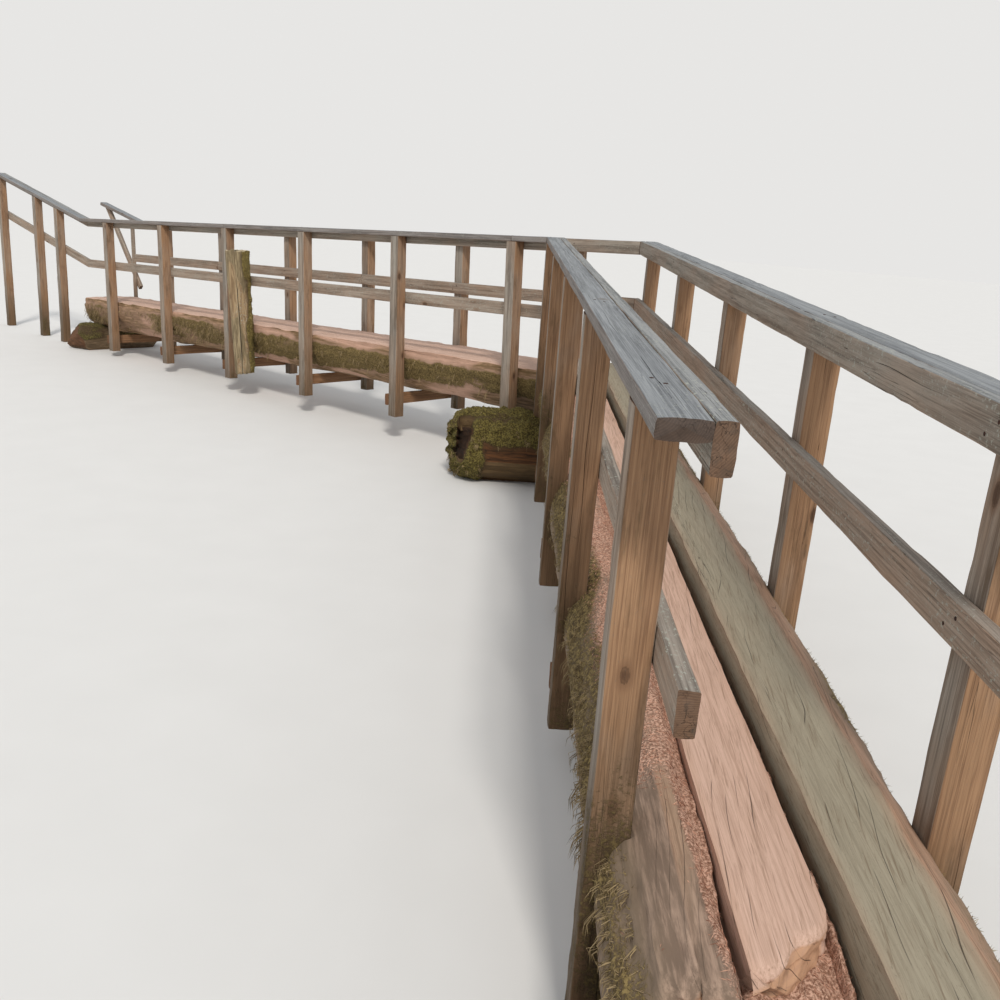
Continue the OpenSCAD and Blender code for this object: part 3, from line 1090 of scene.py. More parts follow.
@dataclass(frozen=True)
class WoodFinish:
    """How one kind of weathered wood looks."""

    name: str
    wood: Colour
    late: Colour
    grey: Colour
    grey_late: Colour
    silver: Colour = rgb(156, 153, 150)
    silver_late: Colour = rgb(98, 95, 94)
    stain: Colour = rgb(66, 52, 34)
    end: Colour = rgb(96, 66, 46)
    bark: Colour = rgb(84, 72, 56)
    bark_light: Colour = rgb(128, 108, 86)
    moss: Colour = rgb(112, 104, 58)
    moss_dark: Colour = rgb(58, 50, 28)
    duff: Colour = rgb(206, 160, 138)
    duff_dark: Colour = rgb(122, 78, 60)
    knot: Colour = rgb(62, 42, 30)
    lichen_spot: Colour = rgb(168, 170, 158)
    heart_rot: Colour = (0.02, 0.014, 0.011)
    # Painted shadow: the near-black colour laid into cracks, checks, the cleft and the rotten hole, standing
    # in for the shade inside them.
    gap: Colour = (0.012, 0.008, 0.006)
    ring: float = 0.0045
    ring_share: float = 0.5
    blotch: float = 0.5
    checks: float = 0.5
    lichen: float = 0.0
    slant: float = 0.0
    streaks: float = 0.18
    contrast: float = 0.6
    pores: float = 0.0
    knots: float = 0.8
    depth: float = 0.0016

    def build(self) -> Material:
        """Makes the material.

        Returns:
            The material.
        """
        g = WoodGraph(self.name, self.ring)
        colour, checks = self._weathered(g), self._checks(g)
        if self.slant:
            colour, checks = self._hewn(g, colour, checks)
        if self.knots:
            colour, checks = self._knotted(g, colour, checks)
        if self.pores:
            dots = g.noise(g.place, (110, 330, 330), 2.0, 0.7).above(0.60, 0.72)
            colour = g.mixed(colour, self.grey_late, dots * self.pores)
        colour = g.mixed(colour, self._end_grain(g), g.end * 0.85)
        # Painted shadow: cracks, checks, the cleft and the rotten hole darkened almost to black, as the shade
        # inside them.
        colour = g.mixed(colour, self.gap, (g.crack * 1.2 + checks * 0.75).limited() * 0.9)
        if self.lichen:
            spots = g.noise(g.place, (95, 120, 120), 3.0, 0.7).above(0.57, 0.65) * g.patch.above(0.38, 0.55)
            colour = g.mixed(colour, self.lichen_spot, spots * (1 - g.end) * self.lichen)
        furrow = g.noise(g.place, (7, 48, 48), 4.0, 0.65)
        bark = g.painted("bark") * (1 - g.end)
        ridges = (furrow * 0.65 + g.line * 0.35).above(0.42, 0.66)
        colour = g.mixed(colour, g.mixed(self.bark, self.bark_light, ridges), bark)
        grain = (g.fibre * 0.25 + g.line * 0.5 + g.rings * 0.06) * (1 - bark)
        height = grain - checks * 0.9 + furrow * bark * 1.6
        return self._overgrown(g, colour, height)

    def _weathered(self, g: WoodGraph) -> Value:
        """The colour of bare wood, from fresh to grey and to silver where the sky reaches it."""
        lines = g.rings * self.ring_share + g.fibre.above(0.42, 0.62) * 0.3 + g.line.above(0.46, 0.60) * 0.45
        lines = (lines * (1 - g.end)).limited()
        bands = g.streak.above(0.42, 0.62) * self.contrast
        fresh = g.mixed(self.wood, self.late, lines)
        aged = g.mixed(self.grey, self.grey_late, (lines * 0.6 + bands).limited())
        bleached = g.mixed(self.silver, self.silver_late, (lines * 0.6 + bands * 0.8).limited())
        greyness = g.painted("grey") * 1.25 - 0.25 + (g.patch - 0.5) * 1.5 * self.blotch
        colour = g.mixed(fresh, aged, greyness.limited())
        silvered = (g.sky * 1.3 - 0.3 + (g.patch - 0.35) * 0.9).limited() * g.sky
        colour = g.mixed(colour, bleached, silvered)
        shade = g.streak.above(0.58, 0.42) * self.streaks + (0.94 - self.streaks / 2)
        shade = shade + g.painted("tone") * 0.14
        colour = g.mixed((0, 0, 0), colour, shade)
        rubbed = g.mixed(self.wood, self.end, 0.25)
        colour = g.mixed(colour, rubbed, g.worn * 0.35 * (1 - g.sky * 0.9))
        grime = (g.noise(g.place, (2.6, 15, 15), 5.0, 0.7).above(0.53, 0.68) * 0.55).limited()
        return g.mixed(colour, self.stain, grime * self.blotch * (1 - g.sky))

    def _checks(self, g: WoodGraph) -> Value:
        """Fine drying checks along the grain; they sink the bump and take painted shadow."""
        slits = (g.noise(g.place, (1.5, 80, 80), 2.0, 0.5) - 0.5).size().above(0.014, 0.0)
        return slits * g.noise(g.place, (1.1, 14, 14)).above(0.66 - 0.25 * self.checks, 0.72)

    def _hewn(self, g: WoodGraph, colour: Value, checks: Value) -> tuple[Value, Value]:
        """Adds the slits and dashes that run aslant across a hewn face to the colour and checks."""
        settings, inputs = {"rotation_type": "Z_AXIS"}, {"Vector": g.place, "Angle": self.slant}
        askew = g.node("VectorRotate", settings, inputs)
        rows = g.along(askew, (0.0, 110.0, 83.0)) + g.noise(g.place, (1.2, 5, 5), 2.0) * 16
        slits = rows.wave().size().above(0.09, 0.02) * g.noise(askew, (2.2, 24, 24), 2.0).above(0.52, 0.60)
        dashes = g.noise(askew, (6, 190, 190), 3.0, 0.7).above(0.53, 0.68)
        return g.mixed(colour, self.stain, dashes * 0.7), (checks + slits).limited()

    def _knotted(self, g: WoodGraph, colour: Value, checks: Value) -> tuple[Value, Value]:
        inputs = {"Vector": g.scaled(g.place, (5, 10, 10)), "Scale": 1.0}
        cells = g.node("TexVoronoi", {}, inputs)
        away = cells.out("Distance") + (g.fibre - 0.5) * 0.05
        picked = cells.out("Color").above(0.72, 0.73) * self.knots * (1 - g.end)
        colour = g.mixed(colour, self.late, away.above(0.26, 0.13) * picked * 0.8)
        colour = g.mixed(colour, self.knot, away.above(0.14, 0.10) * picked * 0.85)
        return colour, checks + (away - 0.13).size().above(0.012, 0.0) * picked * 0.6

    def _end_grain(self, g: WoodGraph) -> Value:
        """The colour of a cut end: rings, a rotten heart and the cracks that run out from it."""
        angle = g.along(g.place, (0.0, 1.0, 0.0)).turn_to(g.along(g.place, (0.0, 0.0, 1.0)))
        spokes = (angle * 9 + g.noise(g.place, (1, 20, 20)) * 2).wave().size().above(0.07, 0.02) * g.end
        spokes = spokes * g.noise(g.place, (1, 40, 40), 2.0).above(0.48, 0.56)
        heart = g.noise(g.place, (1, 16, 16), 3.0, 0.7).above(0.5, 0.62)
        ringed = g.mixed(self.end, self.late, g.rings * 0.3)
        return g.mixed(ringed, self.heart_rot, (heart * 0.5 + spokes * 0.5).limited())

    def _overgrown(self, g: WoodGraph, colour: Value, height: Value) -> Material:
        """Lays damp, litter and moss over the wood and closes the graph.

        Args:
            g: The graph.
            colour: The colour of the wood or bark.
            height: Its relief.

        Returns:
            The material.
        """
        soak = g.painted("moss") * 2.8 * (g.line * 0.5 + g.patch * 0.6 + 0.2)
        colour = g.mixed(colour, self.stain, soak.limited() * 0.75)
        crumb = g.noise(g.place, (170, 170, 170), 3.0, 0.7)
        dust = (g.painted("duff") + (crumb - 0.5) * 0.9 + (g.patch - 0.5) * 0.7).above(0.35, 0.6)
        colour = g.mixed(colour, g.mixed(self.duff_dark, self.duff, crumb.above(0.4, 0.62)), dust)
        fuzz = g.noise(g.place, (90, 90, 90), 4.0, 0.7)
        cover = (g.painted("moss") + (fuzz - 0.5) * 0.8 + (g.patch - 0.5) * 1.3).above(0.42, 0.70)
        colour = g.mixed(colour, g.mixed(self.moss_dark, self.moss, fuzz.above(0.4, 0.66)), cover)
        height = height + fuzz * cover * 2.4 + crumb * dust * 1.6
        rough = (0.78 + g.patch * 0.14 + cover * 0.1).limited()
        return g.finish(colour, rough, height, self.depth)


@dataclass(frozen=True)
class CrumbFinish:
    """How scattered small things look, from one end of their range of tones to the other."""

    name: str
    dark: Colour
    light: Colour
    roughness: float = 0.9

    def build(self) -> Material:
        """Makes the material."""
        g = Graph(self.name)
        tint = g.mixed(self.dark, self.light, g.painted("tone"))
        return g.finish(tint, self.roughness)


@dataclass(frozen=True)
class IronFinish:
    """How rusty nail heads look."""

    name: str = "rusty_iron"

    def build(self) -> Material:
        """Makes the material."""
        g = Graph(self.name)
        place = g.node("TexCoord", {}, {}).out("Object")
        rust = g.noise(place, (600, 600, 600), 3.0, 0.6)
        tint = g.mixed(rgb(34, 28, 26), rgb(92, 52, 34), rust.above(0.45, 0.65))
        return g.finish(tint, 0.6 + rust * 0.3, rust, 0.0004)


POST_WOOD = WoodFinish(
    "post_timber", rgb(164, 129, 98), rgb(120, 89, 66), rgb(164, 156, 145), rgb(116, 106, 96),
    stain=rgb(80, 62, 42), moss=rgb(104, 88, 56), moss_dark=rgb(62, 50, 32), blotch=0.9, checks=0.7,
    ring_share=0.13, ring=0.006, pores=0.3,
)
CAP_WOOD = WoodFinish(
    "grey_cap_board", rgb(142, 120, 104), rgb(98, 82, 70), rgb(146, 144, 142), rgb(96, 94, 94),
    silver=rgb(150, 153, 155), silver_late=rgb(88, 91, 95), end=rgb(66, 53, 46), checks=0.9, blotch=0.35,
    lichen=0.45, ring_share=0.3, streaks=0.12, contrast=0.35, depth=0.0024, knots=0.5,
)
RAIL_WOOD = WoodFinish(
    "rail_board", rgb(184, 150, 124), rgb(132, 102, 78), rgb(162, 153, 141), rgb(112, 104, 94),
    silver=rgb(152, 153, 152), silver_late=rgb(98, 100, 101), stain=rgb(92, 76, 60), end=rgb(84, 60, 44),
    checks=0.7, blotch=0.6, lichen=0.85, ring_share=0.2, pores=0.45,
)
TIE_WOOD = WoodFinish(
    "tie_timber", rgb(168, 122, 84), rgb(112, 76, 50), rgb(134, 116, 94), rgb(88, 74, 60),
)
HEWN_WOOD = WoodFinish(
    "hewn_log", rgb(176, 142, 118), rgb(122, 92, 70), rgb(160, 151, 131), rgb(126, 116, 98),
    stain=rgb(120, 104, 84), end=rgb(150, 116, 90), moss=rgb(146, 126, 82), moss_dark=rgb(72, 58, 38),
    duff=rgb(208, 168, 146), duff_dark=rgb(136, 100, 80), bark=rgb(122, 103, 88),
    bark_light=rgb(172, 146, 127), slant=0.12, blotch=0.22, checks=0.3, ring=0.008, ring_share=0.12,
    streaks=0.08, contrast=0.2, pores=0.6, knots=0.0,
)
PALE_WOOD = WoodFinish(
    "pale_hewn_log", rgb(204, 166, 144), rgb(166, 128, 108), rgb(216, 184, 166), rgb(176, 144, 124),
    stain=rgb(156, 126, 106), end=rgb(190, 148, 116), slant=0.07, blotch=0.35, checks=0.25, ring=0.008,
    ring_share=0.12, streaks=0.08, contrast=0.3, pores=0.35, moss=rgb(136, 116, 74),
    moss_dark=rgb(82, 68, 40), bark=rgb(108, 86, 58), bark_light=rgb(176, 142, 112), knots=0.0,
)
MOSSY_WOOD = WoodFinish(
    "mossy_log", rgb(124, 82, 50), rgb(62, 40, 24), rgb(102, 66, 38), rgb(48, 32, 20), end=rgb(70, 48, 32),
    moss=rgb(124, 112, 60), moss_dark=rgb(62, 52, 26), bark=rgb(84, 66, 44), bark_light=rgb(108, 86, 58),
    ring=0.008, depth=0.003, knots=0.0,
)
SILL_WOOD = WoodFinish(
    "sill_log", rgb(138, 104, 76), rgb(90, 64, 46), rgb(118, 98, 78), rgb(76, 60, 46), depth=0.003,
    bark=rgb(92, 76, 58), bark_light=rgb(138, 116, 90), moss=rgb(122, 112, 66),
)
SPLIT_WOOD = WoodFinish(
    "split_log", rgb(170, 146, 112), rgb(124, 100, 74), rgb(150, 138, 116), rgb(100, 88, 70),
    end=rgb(214, 200, 168), bark=rgb(112, 98, 74), bark_light=rgb(168, 150, 118), moss=rgb(150, 134, 80),
    moss_dark=rgb(92, 78, 44), lichen=1.0, depth=0.003, knots=0.4,
)


class Workshop:
    """Keeps one material for each finish and puts finished pieces on the bridge."""

    def __init__(self) -> None:
        """Starts with no material made."""
        self.materials: dict[str, Material] = {}

    def place(self, name: str, skin: Skin, finish: WoodFinish | CrumbFinish | IronFinish,
              *nodes: str) -> None:
        """Makes a piece of a skin and puts it on the bridge.

        Args:
            name: The piece's name.
            skin: Its mesh.
            finish: Its finish, named like the record's material slot.
            nodes: The construction's nodes that it stands for. Growth and nails stand for none.
        """
        if finish.name not in self.materials:
            self.materials[finish.name] = finish.build()
        piece = skin.to_object(name, self.materials[finish.name])
        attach(piece, "root")
        if nodes:
            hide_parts(*nodes)
        log.info("%s: %d triangles", name, 2 * len(skin.quads) + len(skin.tris))


def damp_foot(low: float, high: float) -> Mask:
    """Moss and stain that fade out up a post.

    Args:
        low: The height below which they are thick, in the span's axes.
        high: The height at which they end.

    Returns:
        The mask.
    """
    def mask(p: Array) -> Array:
        """Thick below and ragged above."""
        return 0.46 * (1 - ease(p[..., 2] + 0.09 * NOISE.at(p, (9, 9, 3), 2), low, high))

    return mask


@dataclass
class Posts:
    """The square posts of both rows, and those that go on up the bank."""

    shop: Workshop
    # How grey each side of the posts is: partly weathering and partly painted light and shade, some sides
    # pale grey and others orange-brown as the light fell on them.
    near_greys_and_shading: Greys = (0.18, 0.62, 0.3, 0.85)
    far_greys_and_shading: Greys = (0.36, 0.76, 0.44, 0.88)
    near_stains: tuple[Pair, ...] = ((-1.02, -0.40), (-1.25, -0.70))
    far_stains: tuple[Pair, ...] = ((-1.60, -0.80), (-1.60, -0.95))
    bank_stain: Pair = (0.1, 0.8)
    cracks: int = 4
    crack_depth: float = 0.009
    rim: float = 0.0035
    wear: float = 0.0028
    bow: float = 0.0015
    bank_bow: float = 0.002
    boxes: dict[str, list[Box]] = field(default_factory=dict)

    def build(self) -> None:
        """Builds a piece for each pair of posts and one for the bank's."""
        for span, nodes, stains, greys in (
            (NEAR, NEAR_POSTS, self.near_stains, self.near_greys_and_shading),
            (FAR, FAR_POSTS, self.far_stains, self.far_greys_and_shading),
        ):
            for node in nodes:
                self.boxes[node] = span.solids(node, axis=1)
                self._place(node, [
                    self._post(f"{node}_{row}", box, span, Cut(box.high[2]), stains[row], greys)
                    for row, box in enumerate(self.boxes[node])
                ])
        under_cap = cap_underside_cut(FLOOR, Lie.UP)
        self._place("bank_posts", [
            self._post(f"bank_post_{row}", box, FLOOR, under_cap, self.bank_stain, self.far_greys_and_shading)
            for row, box in enumerate(FLOOR.solids("bank_posts"))
        ])

    def _post(self, name: str, box: Box, span: Span, top: Cut, stain: Pair, greys: Greys) -> Skin:
        """Builds one post.

        Args:
            name: Names its random numbers.
            box: Its box in the span's axes.
            span: Its span.
            top: Where it is cut off.
            stain: The heights between which moss and stain fade out.
            greys: How grey its four sides are; for the posts this is partly weathering and partly painted
                light and shade.

        Returns:
            Its skin.
        """
        low, high = box.own(Lie.UP)
        return Timber(
            name, low, high, [Cut(low[0])], [top], greys, cracks=self.cracks, crack_depth=self.crack_depth,
            rim=self.rim, wear=self.wear, bow=self.bank_bow if span is FLOOR else self.bow,
            damp=damp_foot(*stain),
        ).skin(span, Lie.UP)

    def _place(self, node: str, skins: list[Skin]) -> None:
        """Puts the posts of one node on the bridge."""
        self.shop.place(f"{node}_timber", Skin.joined(skins), POST_WOOD, node)


@dataclass(frozen=True)
class BoardLook:
    """What sets one board of a railing apart from the others."""

    finish: WoodFinish
    greys: Greys
    silver: float
    columns: int
    near_chop: float


class BoardKind(Enum):
    """The boards of a railing."""

    CAP = BoardLook(CAP_WOOD, (0.75, 1.0, 0.75, 0.3), 1.0, 5, 0.0045)
    RAIL = BoardLook(RAIL_WOOD, (0.92, 1.0, 0.92, 0.5), 1.0, 4, 0.0035)
    MIDRAIL = BoardLook(RAIL_WOOD, (0.72, 0.9, 0.72, 0.3), 0.45, 4, 0.0035)


@dataclass
class Boards:
    """The caps, rails and midrails of both spans and of the bank, with their butt joints."""

    shop: Workshop
    hairline: float = 0.0012
    step: float = 0.045
    bow: float = 0.0018
    crack_depth: float = 0.007
    far_chop: float = 0.0012
    bank_chop: float = 0.002
    trim: float = 0.006
    thin_greys: Greys = (0.7, 0.8, 0.7, 0.8)
    thin_stain: Pair = (-1.0, -0.6)
    brace_greys: Greys = (0.7, 0.8, 0.7, 0.6)
    brace_from: Pair = (-7.150, -0.760)
    brace_lean: float = 51.0

    def build(self) -> None:
        """Builds a piece for each run of boards, and the thin post and its brace."""
        for side in ("left", "right"):
            for kind in BoardKind:
                self._near(f"near_{side}_{kind.name.lower()}", kind)
        for side in ("front", "back"):
            for kind in BoardKind:
                self._far(f"far_{side}_{kind.name.lower()}", kind)
        for kind in BoardKind:
            self._bank(f"bank_{kind.name.lower()}", kind)
        self._bank("bank_back_cap", BoardKind.CAP)
        self._thin_post()
        self._brace()

    def _near(self, node: str, kind: BoardKind) -> None:
        """A run along the near span."""
        end = Cut(NEAR.box(node).high[0] - self.trim, 0.02, 0.01)
        self._run(node, kind, NEAR, [bend_cut(NEAR, Lie.ALONG, self.hairline), end], kind.value.near_chop)

    def _far(self, node: str, kind: BoardKind) -> None:
        """A run along the far span, in lengths that meet over posts."""
        joint_posts = {
            "far_front_cap": (1, 4), "far_front_rail": (3,), "far_front_midrail": (2, 5),
            "far_back_cap": (3,), "far_back_rail": (4,), "far_back_midrail": (3, 5),
        }[node]
        boxes = [FAR.solids(f"far_posts_{number}", axis=1)[0] for number in joint_posts]
        joints = [(box.low[0] + box.high[0]) / 2 for box in boxes]
        ends = [bank_cut(FAR, Lie.ALONG, self.hairline), bend_cut(FAR, Lie.ALONG, -self.hairline)]
        self._run(node, kind, FAR, ends, self.far_chop, joints)

    def _bank(self, node: str, kind: BoardKind) -> None:
        """A run up the far bank."""
        start = Cut(BANK.box(node).low[0] + self.trim, -0.02)
        self._run(node, kind, BANK, [start, bank_cut(BANK, Lie.ALONG, -self.hairline)], self.bank_chop)

    def _run(self, node: str, kind: BoardKind, span: Span, ends: list[Cut], chop: float,
             joints: Iterable[float] = ()) -> None:
        """Builds a run of boards as one piece.

        Args:
            node: The node that it stands for.
            kind: Which board of the railing it is.
            span: Its span.
            ends: The cuts at its start and its end.
            chop: How rough the ends are.
            joints: Where boards meet, in the span's axes.
        """
        look, box = kind.value, span.box(node)
        for place in sorted(joints):
            ends[-1:-1] = [Cut(place - self.hairline), Cut(place + self.hairline)]
        skins = []
        for number, (first, last) in enumerate(zip(ends[::2], ends[1::2])):
            low, high = box.low.copy(), box.high.copy()
            low[0], high[0] = first.at, last.at
            skins.append(Timber(
                f"{node}_{number}", low, high, [first], [last], look.greys, step=self.step, chop=chop,
                cracks=max(2, int(last.at - first.at)), columns=look.columns, bow=self.bow,
                crack_depth=self.crack_depth, silver=look.silver,
            ).skin(span, Lie.ALONG))
        self.shop.place(f"{node}_board", Skin.joined(skins), look.finish, node)

    def _thin_post(self) -> None:
        """The thin post at the end of the back rail."""
        low, high = FAR.box("bank_thin_post").own(Lie.UP)
        skin = Timber(
            "bank_thin_post", low, high, [Cut(low[0])], [cap_underside_cut(FAR, Lie.UP)],
            self.thin_greys, cracks=0, damp=damp_foot(*self.thin_stain),
        ).skin(FAR, Lie.UP)
        self.shop.place("bank_thin_post_timber", skin, RAIL_WOOD, "bank_thin_post")

    def _brace(self) -> None:
        """The brace from the foot of the thin post up to the end of the back cap."""
        x, z = self.brace_from
        corner = Matrix.Translation((x + LAYOUT.board / 2, 0.0, z))
        span = Span(Matrix(FAR.matrix.tolist()) @ corner @ turned("Y", self.brace_lean))
        box = span.box("bank_brace")
        skin = Timber(
            "bank_brace", box.low, box.high, [cap_underside_cut(span, Lie.ALONG)], [Cut(box.high[0])],
            self.brace_greys, cracks=1, columns=4,
        ).skin(span, Lie.ALONG)
        self.shop.place("bank_brace_timber", skin, RAIL_WOOD, "bank_brace")


@dataclass
class Ties:
    """The cross ties under the logs."""

    shop: Workshop
    greys: Greys = (0.4, 0.5, 0.2, 0.3)
    columns: int = 4
    chop: float = 0.002

    def build(self) -> None:
        """Builds a piece for the ties of each span."""
        for span, node in ((NEAR, "near_cross_ties"), (FAR, "far_cross_ties")):
            skins = []
            for number, box in enumerate(span.solids(node)):
                low, high = box.own(Lie.ACROSS)
                skins.append(Timber(
                    f"{node}_{number}", low, high, [Cut(low[0])], [Cut(high[0])], self.greys,
                    columns=self.columns, chop=self.chop,
                ).skin(span, Lie.ACROSS))
            self.shop.place(f"{node}_timber", Skin.joined(skins), TIE_WOOD, node)


def notches_for(span: Span, nodes: list[str], reach: float = 0.002) -> list[Notch]:
    """Finds where posts are let into a log.

    Args:
        span: The span of the log and the posts.
        nodes: The posts' nodes.
        reach: The room beside a post.

    Returns:
        For each post its first and last place along the log, the side and where the seat is.
    """
    found = []
    for node in nodes:
        for box in span.solids(node, axis=1):
            left = box.low[1] < LAYOUT.middle
            limit = box.high[1] + LAYOUT.seat if left else box.low[1] - LAYOUT.seat
            found.append((box.low[0] - reach, box.high[0] + reach, -1 if left else 1, limit))
    return found


@dataclass
class Logs:
    """Logs that are put on the bridge and kept for what grows on them."""

    shop: Workshop
    skins: dict[str, Skin] = field(default_factory=dict)

    def _place(self, node: str, word: str, skin: Skin, finish: WoodFinish) -> None:
        """Puts a finished skin in its node's place and keeps it."""
        self.skins[node] = skin
        self.shop.place(f"{node}_{word}", skin, finish, node)


@dataclass
class NearDeck(Logs):
    """The near span's three logs, which lie side by side as its walkway."""

    length: float = LAYOUT.near_span
    left_top: float = -0.840
    left_face: float = 0.418
    middle_sides: Pair = (0.236, 0.410)
    middle_top: float = -0.845
    right_top: float = -0.790
    right_face: float = 0.430

    def build(self) -> None:
        """Builds the three logs."""
        posts = notches_for(NEAR, NEAR_POSTS)
        joint = bend_cut(NEAR, Lie.ALONG, LAYOUT.log_joint / 2)
        for node, shape, finish in (
            ("near_left_log", self._left(joint, posts), HEWN_WOOD),
            ("near_middle_log", self._middle(joint), PALE_WOOD),
            ("near_right_log", self._right(joint, posts), HEWN_WOOD),
        ):
            self._place(node, "hewn", shape.skin(NEAR, Lie.ALONG), finish)

    def _left(self, joint: Cut, posts: list[Notch]) -> Log:
        """The round left log, hewn on top, with moss and litter on its shoulder."""
        finish, top = self.length + 0.510, self.left_top
        across, heart = LAYOUT.left_heart

        def moss(p: Array) -> Array:
            """Thick on the outer side, thin toward the underside."""
            outward = -(p[..., 1] + 0.05 * NOISE.at(p, (3, 3, 3), 2))
            return 0.75 * ease(outward, -0.155, -0.085) * ease(p[..., 2], -1.14, -0.95)

        def duff(p: Array) -> Array:
            """Litter on the top and in the seam beside the right log, less toward the near end."""
            x, y, z = (p[..., axis] for axis in range(3))
            ragged = 0.05 * NOISE.at(p, (3.5, 8, 3), 2)
            inland = 1 - 0.85 * ease(x + 3 * ragged, 4.70, 5.00)
            shoulder = (0.62 + 6 * ragged) * ease(y + ragged, -0.02, 0.08) * ease(z, -0.93, -0.86) * inland
            seam = 0.9 * ease(y + 0.3 * ragged, 0.185, 0.205) * ease(z, -0.89, -0.88)
            return np.maximum(shoulder, seam) * (1 - 0.5 * ease(x, 5.1, 5.4))

        def rot(p: Array) -> Array:
            """Eats the shoulder at the near end."""
            along = p[..., 0] + 0.12 * NOISE.at(p, (3, 14, 14), 3)
            return ease(along, 4.85, 5.15) * ease(p[..., 2], -1.12, -1.0)

        def groove(p: Array) -> Array:
            """Lowers the top where it meets the middle log."""
            across = p[..., 1] + 0.012 * NOISE.at(p, (4, 4, 4), 2)
            return 0.026 * ease(across, 0.190, 0.222) * ease(p[..., 2], -0.90, -0.87)

        return Log(
            "near_left_log", LAYOUT.left_heart, LAYOUT.left_radii,
            [Flat(0, 1, top), Flat(1, 0, self.left_face), Flat(0, -1, -LAYOUT.near_base)], [joint],
            [
                axe_cut((finish - 0.070, across, top), -24, 30),
                axe_cut((finish - 0.060, across, heart), 28, -22),
            ],
            (0.200, -1.070), columns=124, step=0.022, moss=moss, duff=duff, notches=posts, chop=0.014,
            edge=0.012, greyness=0.35, pocket=Pocket((0.323, -0.815), 0.137, 0.235, 0.411), blunt=0.045,
            sink=groove, mossy_ends=0.7, rot=rot,
        )

    def _middle(self, joint: Cut) -> Log:
        """The half log with a pale flat top that lies in the left log's shoulder."""
        (left, right), top = self.middle_sides, self.middle_top
        middle = (left + right) / 2
        ends = [
            axe_cut((self.length + 0.325, middle, top), 42, 12),
            axe_cut((self.length + 0.372, left, top - 0.040), 8, -34),
        ]
        return Log(
            "near_middle_log", (middle, top + 0.030), (0.132, 0.140),
            [Flat(0, 1, top), Flat(-1, 0, -left), Flat(1, 0, right)], [joint], ends, (middle, top - 0.050),
            columns=72, step=0.024, rough=0.004, edge=0.0025, edge_width=0.014, hew=0.003, chop=0.013,
            greyness=0.8, blunt=0.030, bare=lambda p: np.ones(p.shape[:-1]),
        )

    def _right(self, joint: Cut, posts: list[Notch]) -> Log:
        """The big right log, hewn on top and on its left side."""
        finish, top = self.length + 0.680, self.right_top
        across, heart = LAYOUT.right_heart

        def moss(p: Array) -> Array:
            """A little on the outer side."""
            outward = p[..., 1] + 0.05 * NOISE.at(p, (2.5, 3, 3), 2)
            return 0.6 * ease(outward, 0.62, 0.70) * ease(p[..., 2], -1.12, -0.95)

        def bare(p: Array) -> Array:
            """Has lost its bark near the top."""
            return ease(p[..., 2] + 0.03 * NOISE.at(p, (3, 9, 9), 2), -0.93, -0.87)

        return Log(
            "near_right_log", LAYOUT.right_heart, LAYOUT.right_radii,
            [Flat(0, 1, top), Flat(-1, 0, -self.right_face), Flat(0, -1, -LAYOUT.near_base)], [joint],
            [
                axe_cut((finish - 0.030, across, top), 12, 16),
                axe_cut((finish - 0.045, across, heart), -10, -26),
            ],
            (0.520, -1.000), columns=100, moss=moss, notches=posts, rough=0.006, edge=0.011, edge_width=0.018,
            step=0.024, flake=0.005, blunt=0.02, chop=0.012, bare=bare,
        )


def under_log(home: Span, span: Span, heart: Pair, radii: Pair, base: float,
              beyond_bend: bool = False) -> Mask:
    """Says how far a sill is cut down so that a log can lie on it.

    Args:
        home: The sill's span.
        span: The log's span.
        heart: The log's heart, across and up.
        radii: Its radius at both ends.
        base: The height of its flat underside.
        beyond_bend: Whether only the far side of the bend counts.

    Returns:
        The mask, in metres.
    """
    radius = sum(radii) / 2

    def mask(places: Array) -> Array:
        """The depth of wood above the log's underside."""
        world = home.to_frame(places)
        local = span.from_frame(world)
        off = local[..., 1] - heart[0]
        low = np.maximum(heart[1] - np.sqrt(np.maximum(radius ** 2 - off ** 2, 0)), base)
        inside = np.abs(off) < radius
        if beyond_bend:
            inside &= world @ MITRE_NORMAL < 0
        return np.where(inside, np.maximum(local[..., 2] - low + LAYOUT.seat, 0), 0)

    return mask


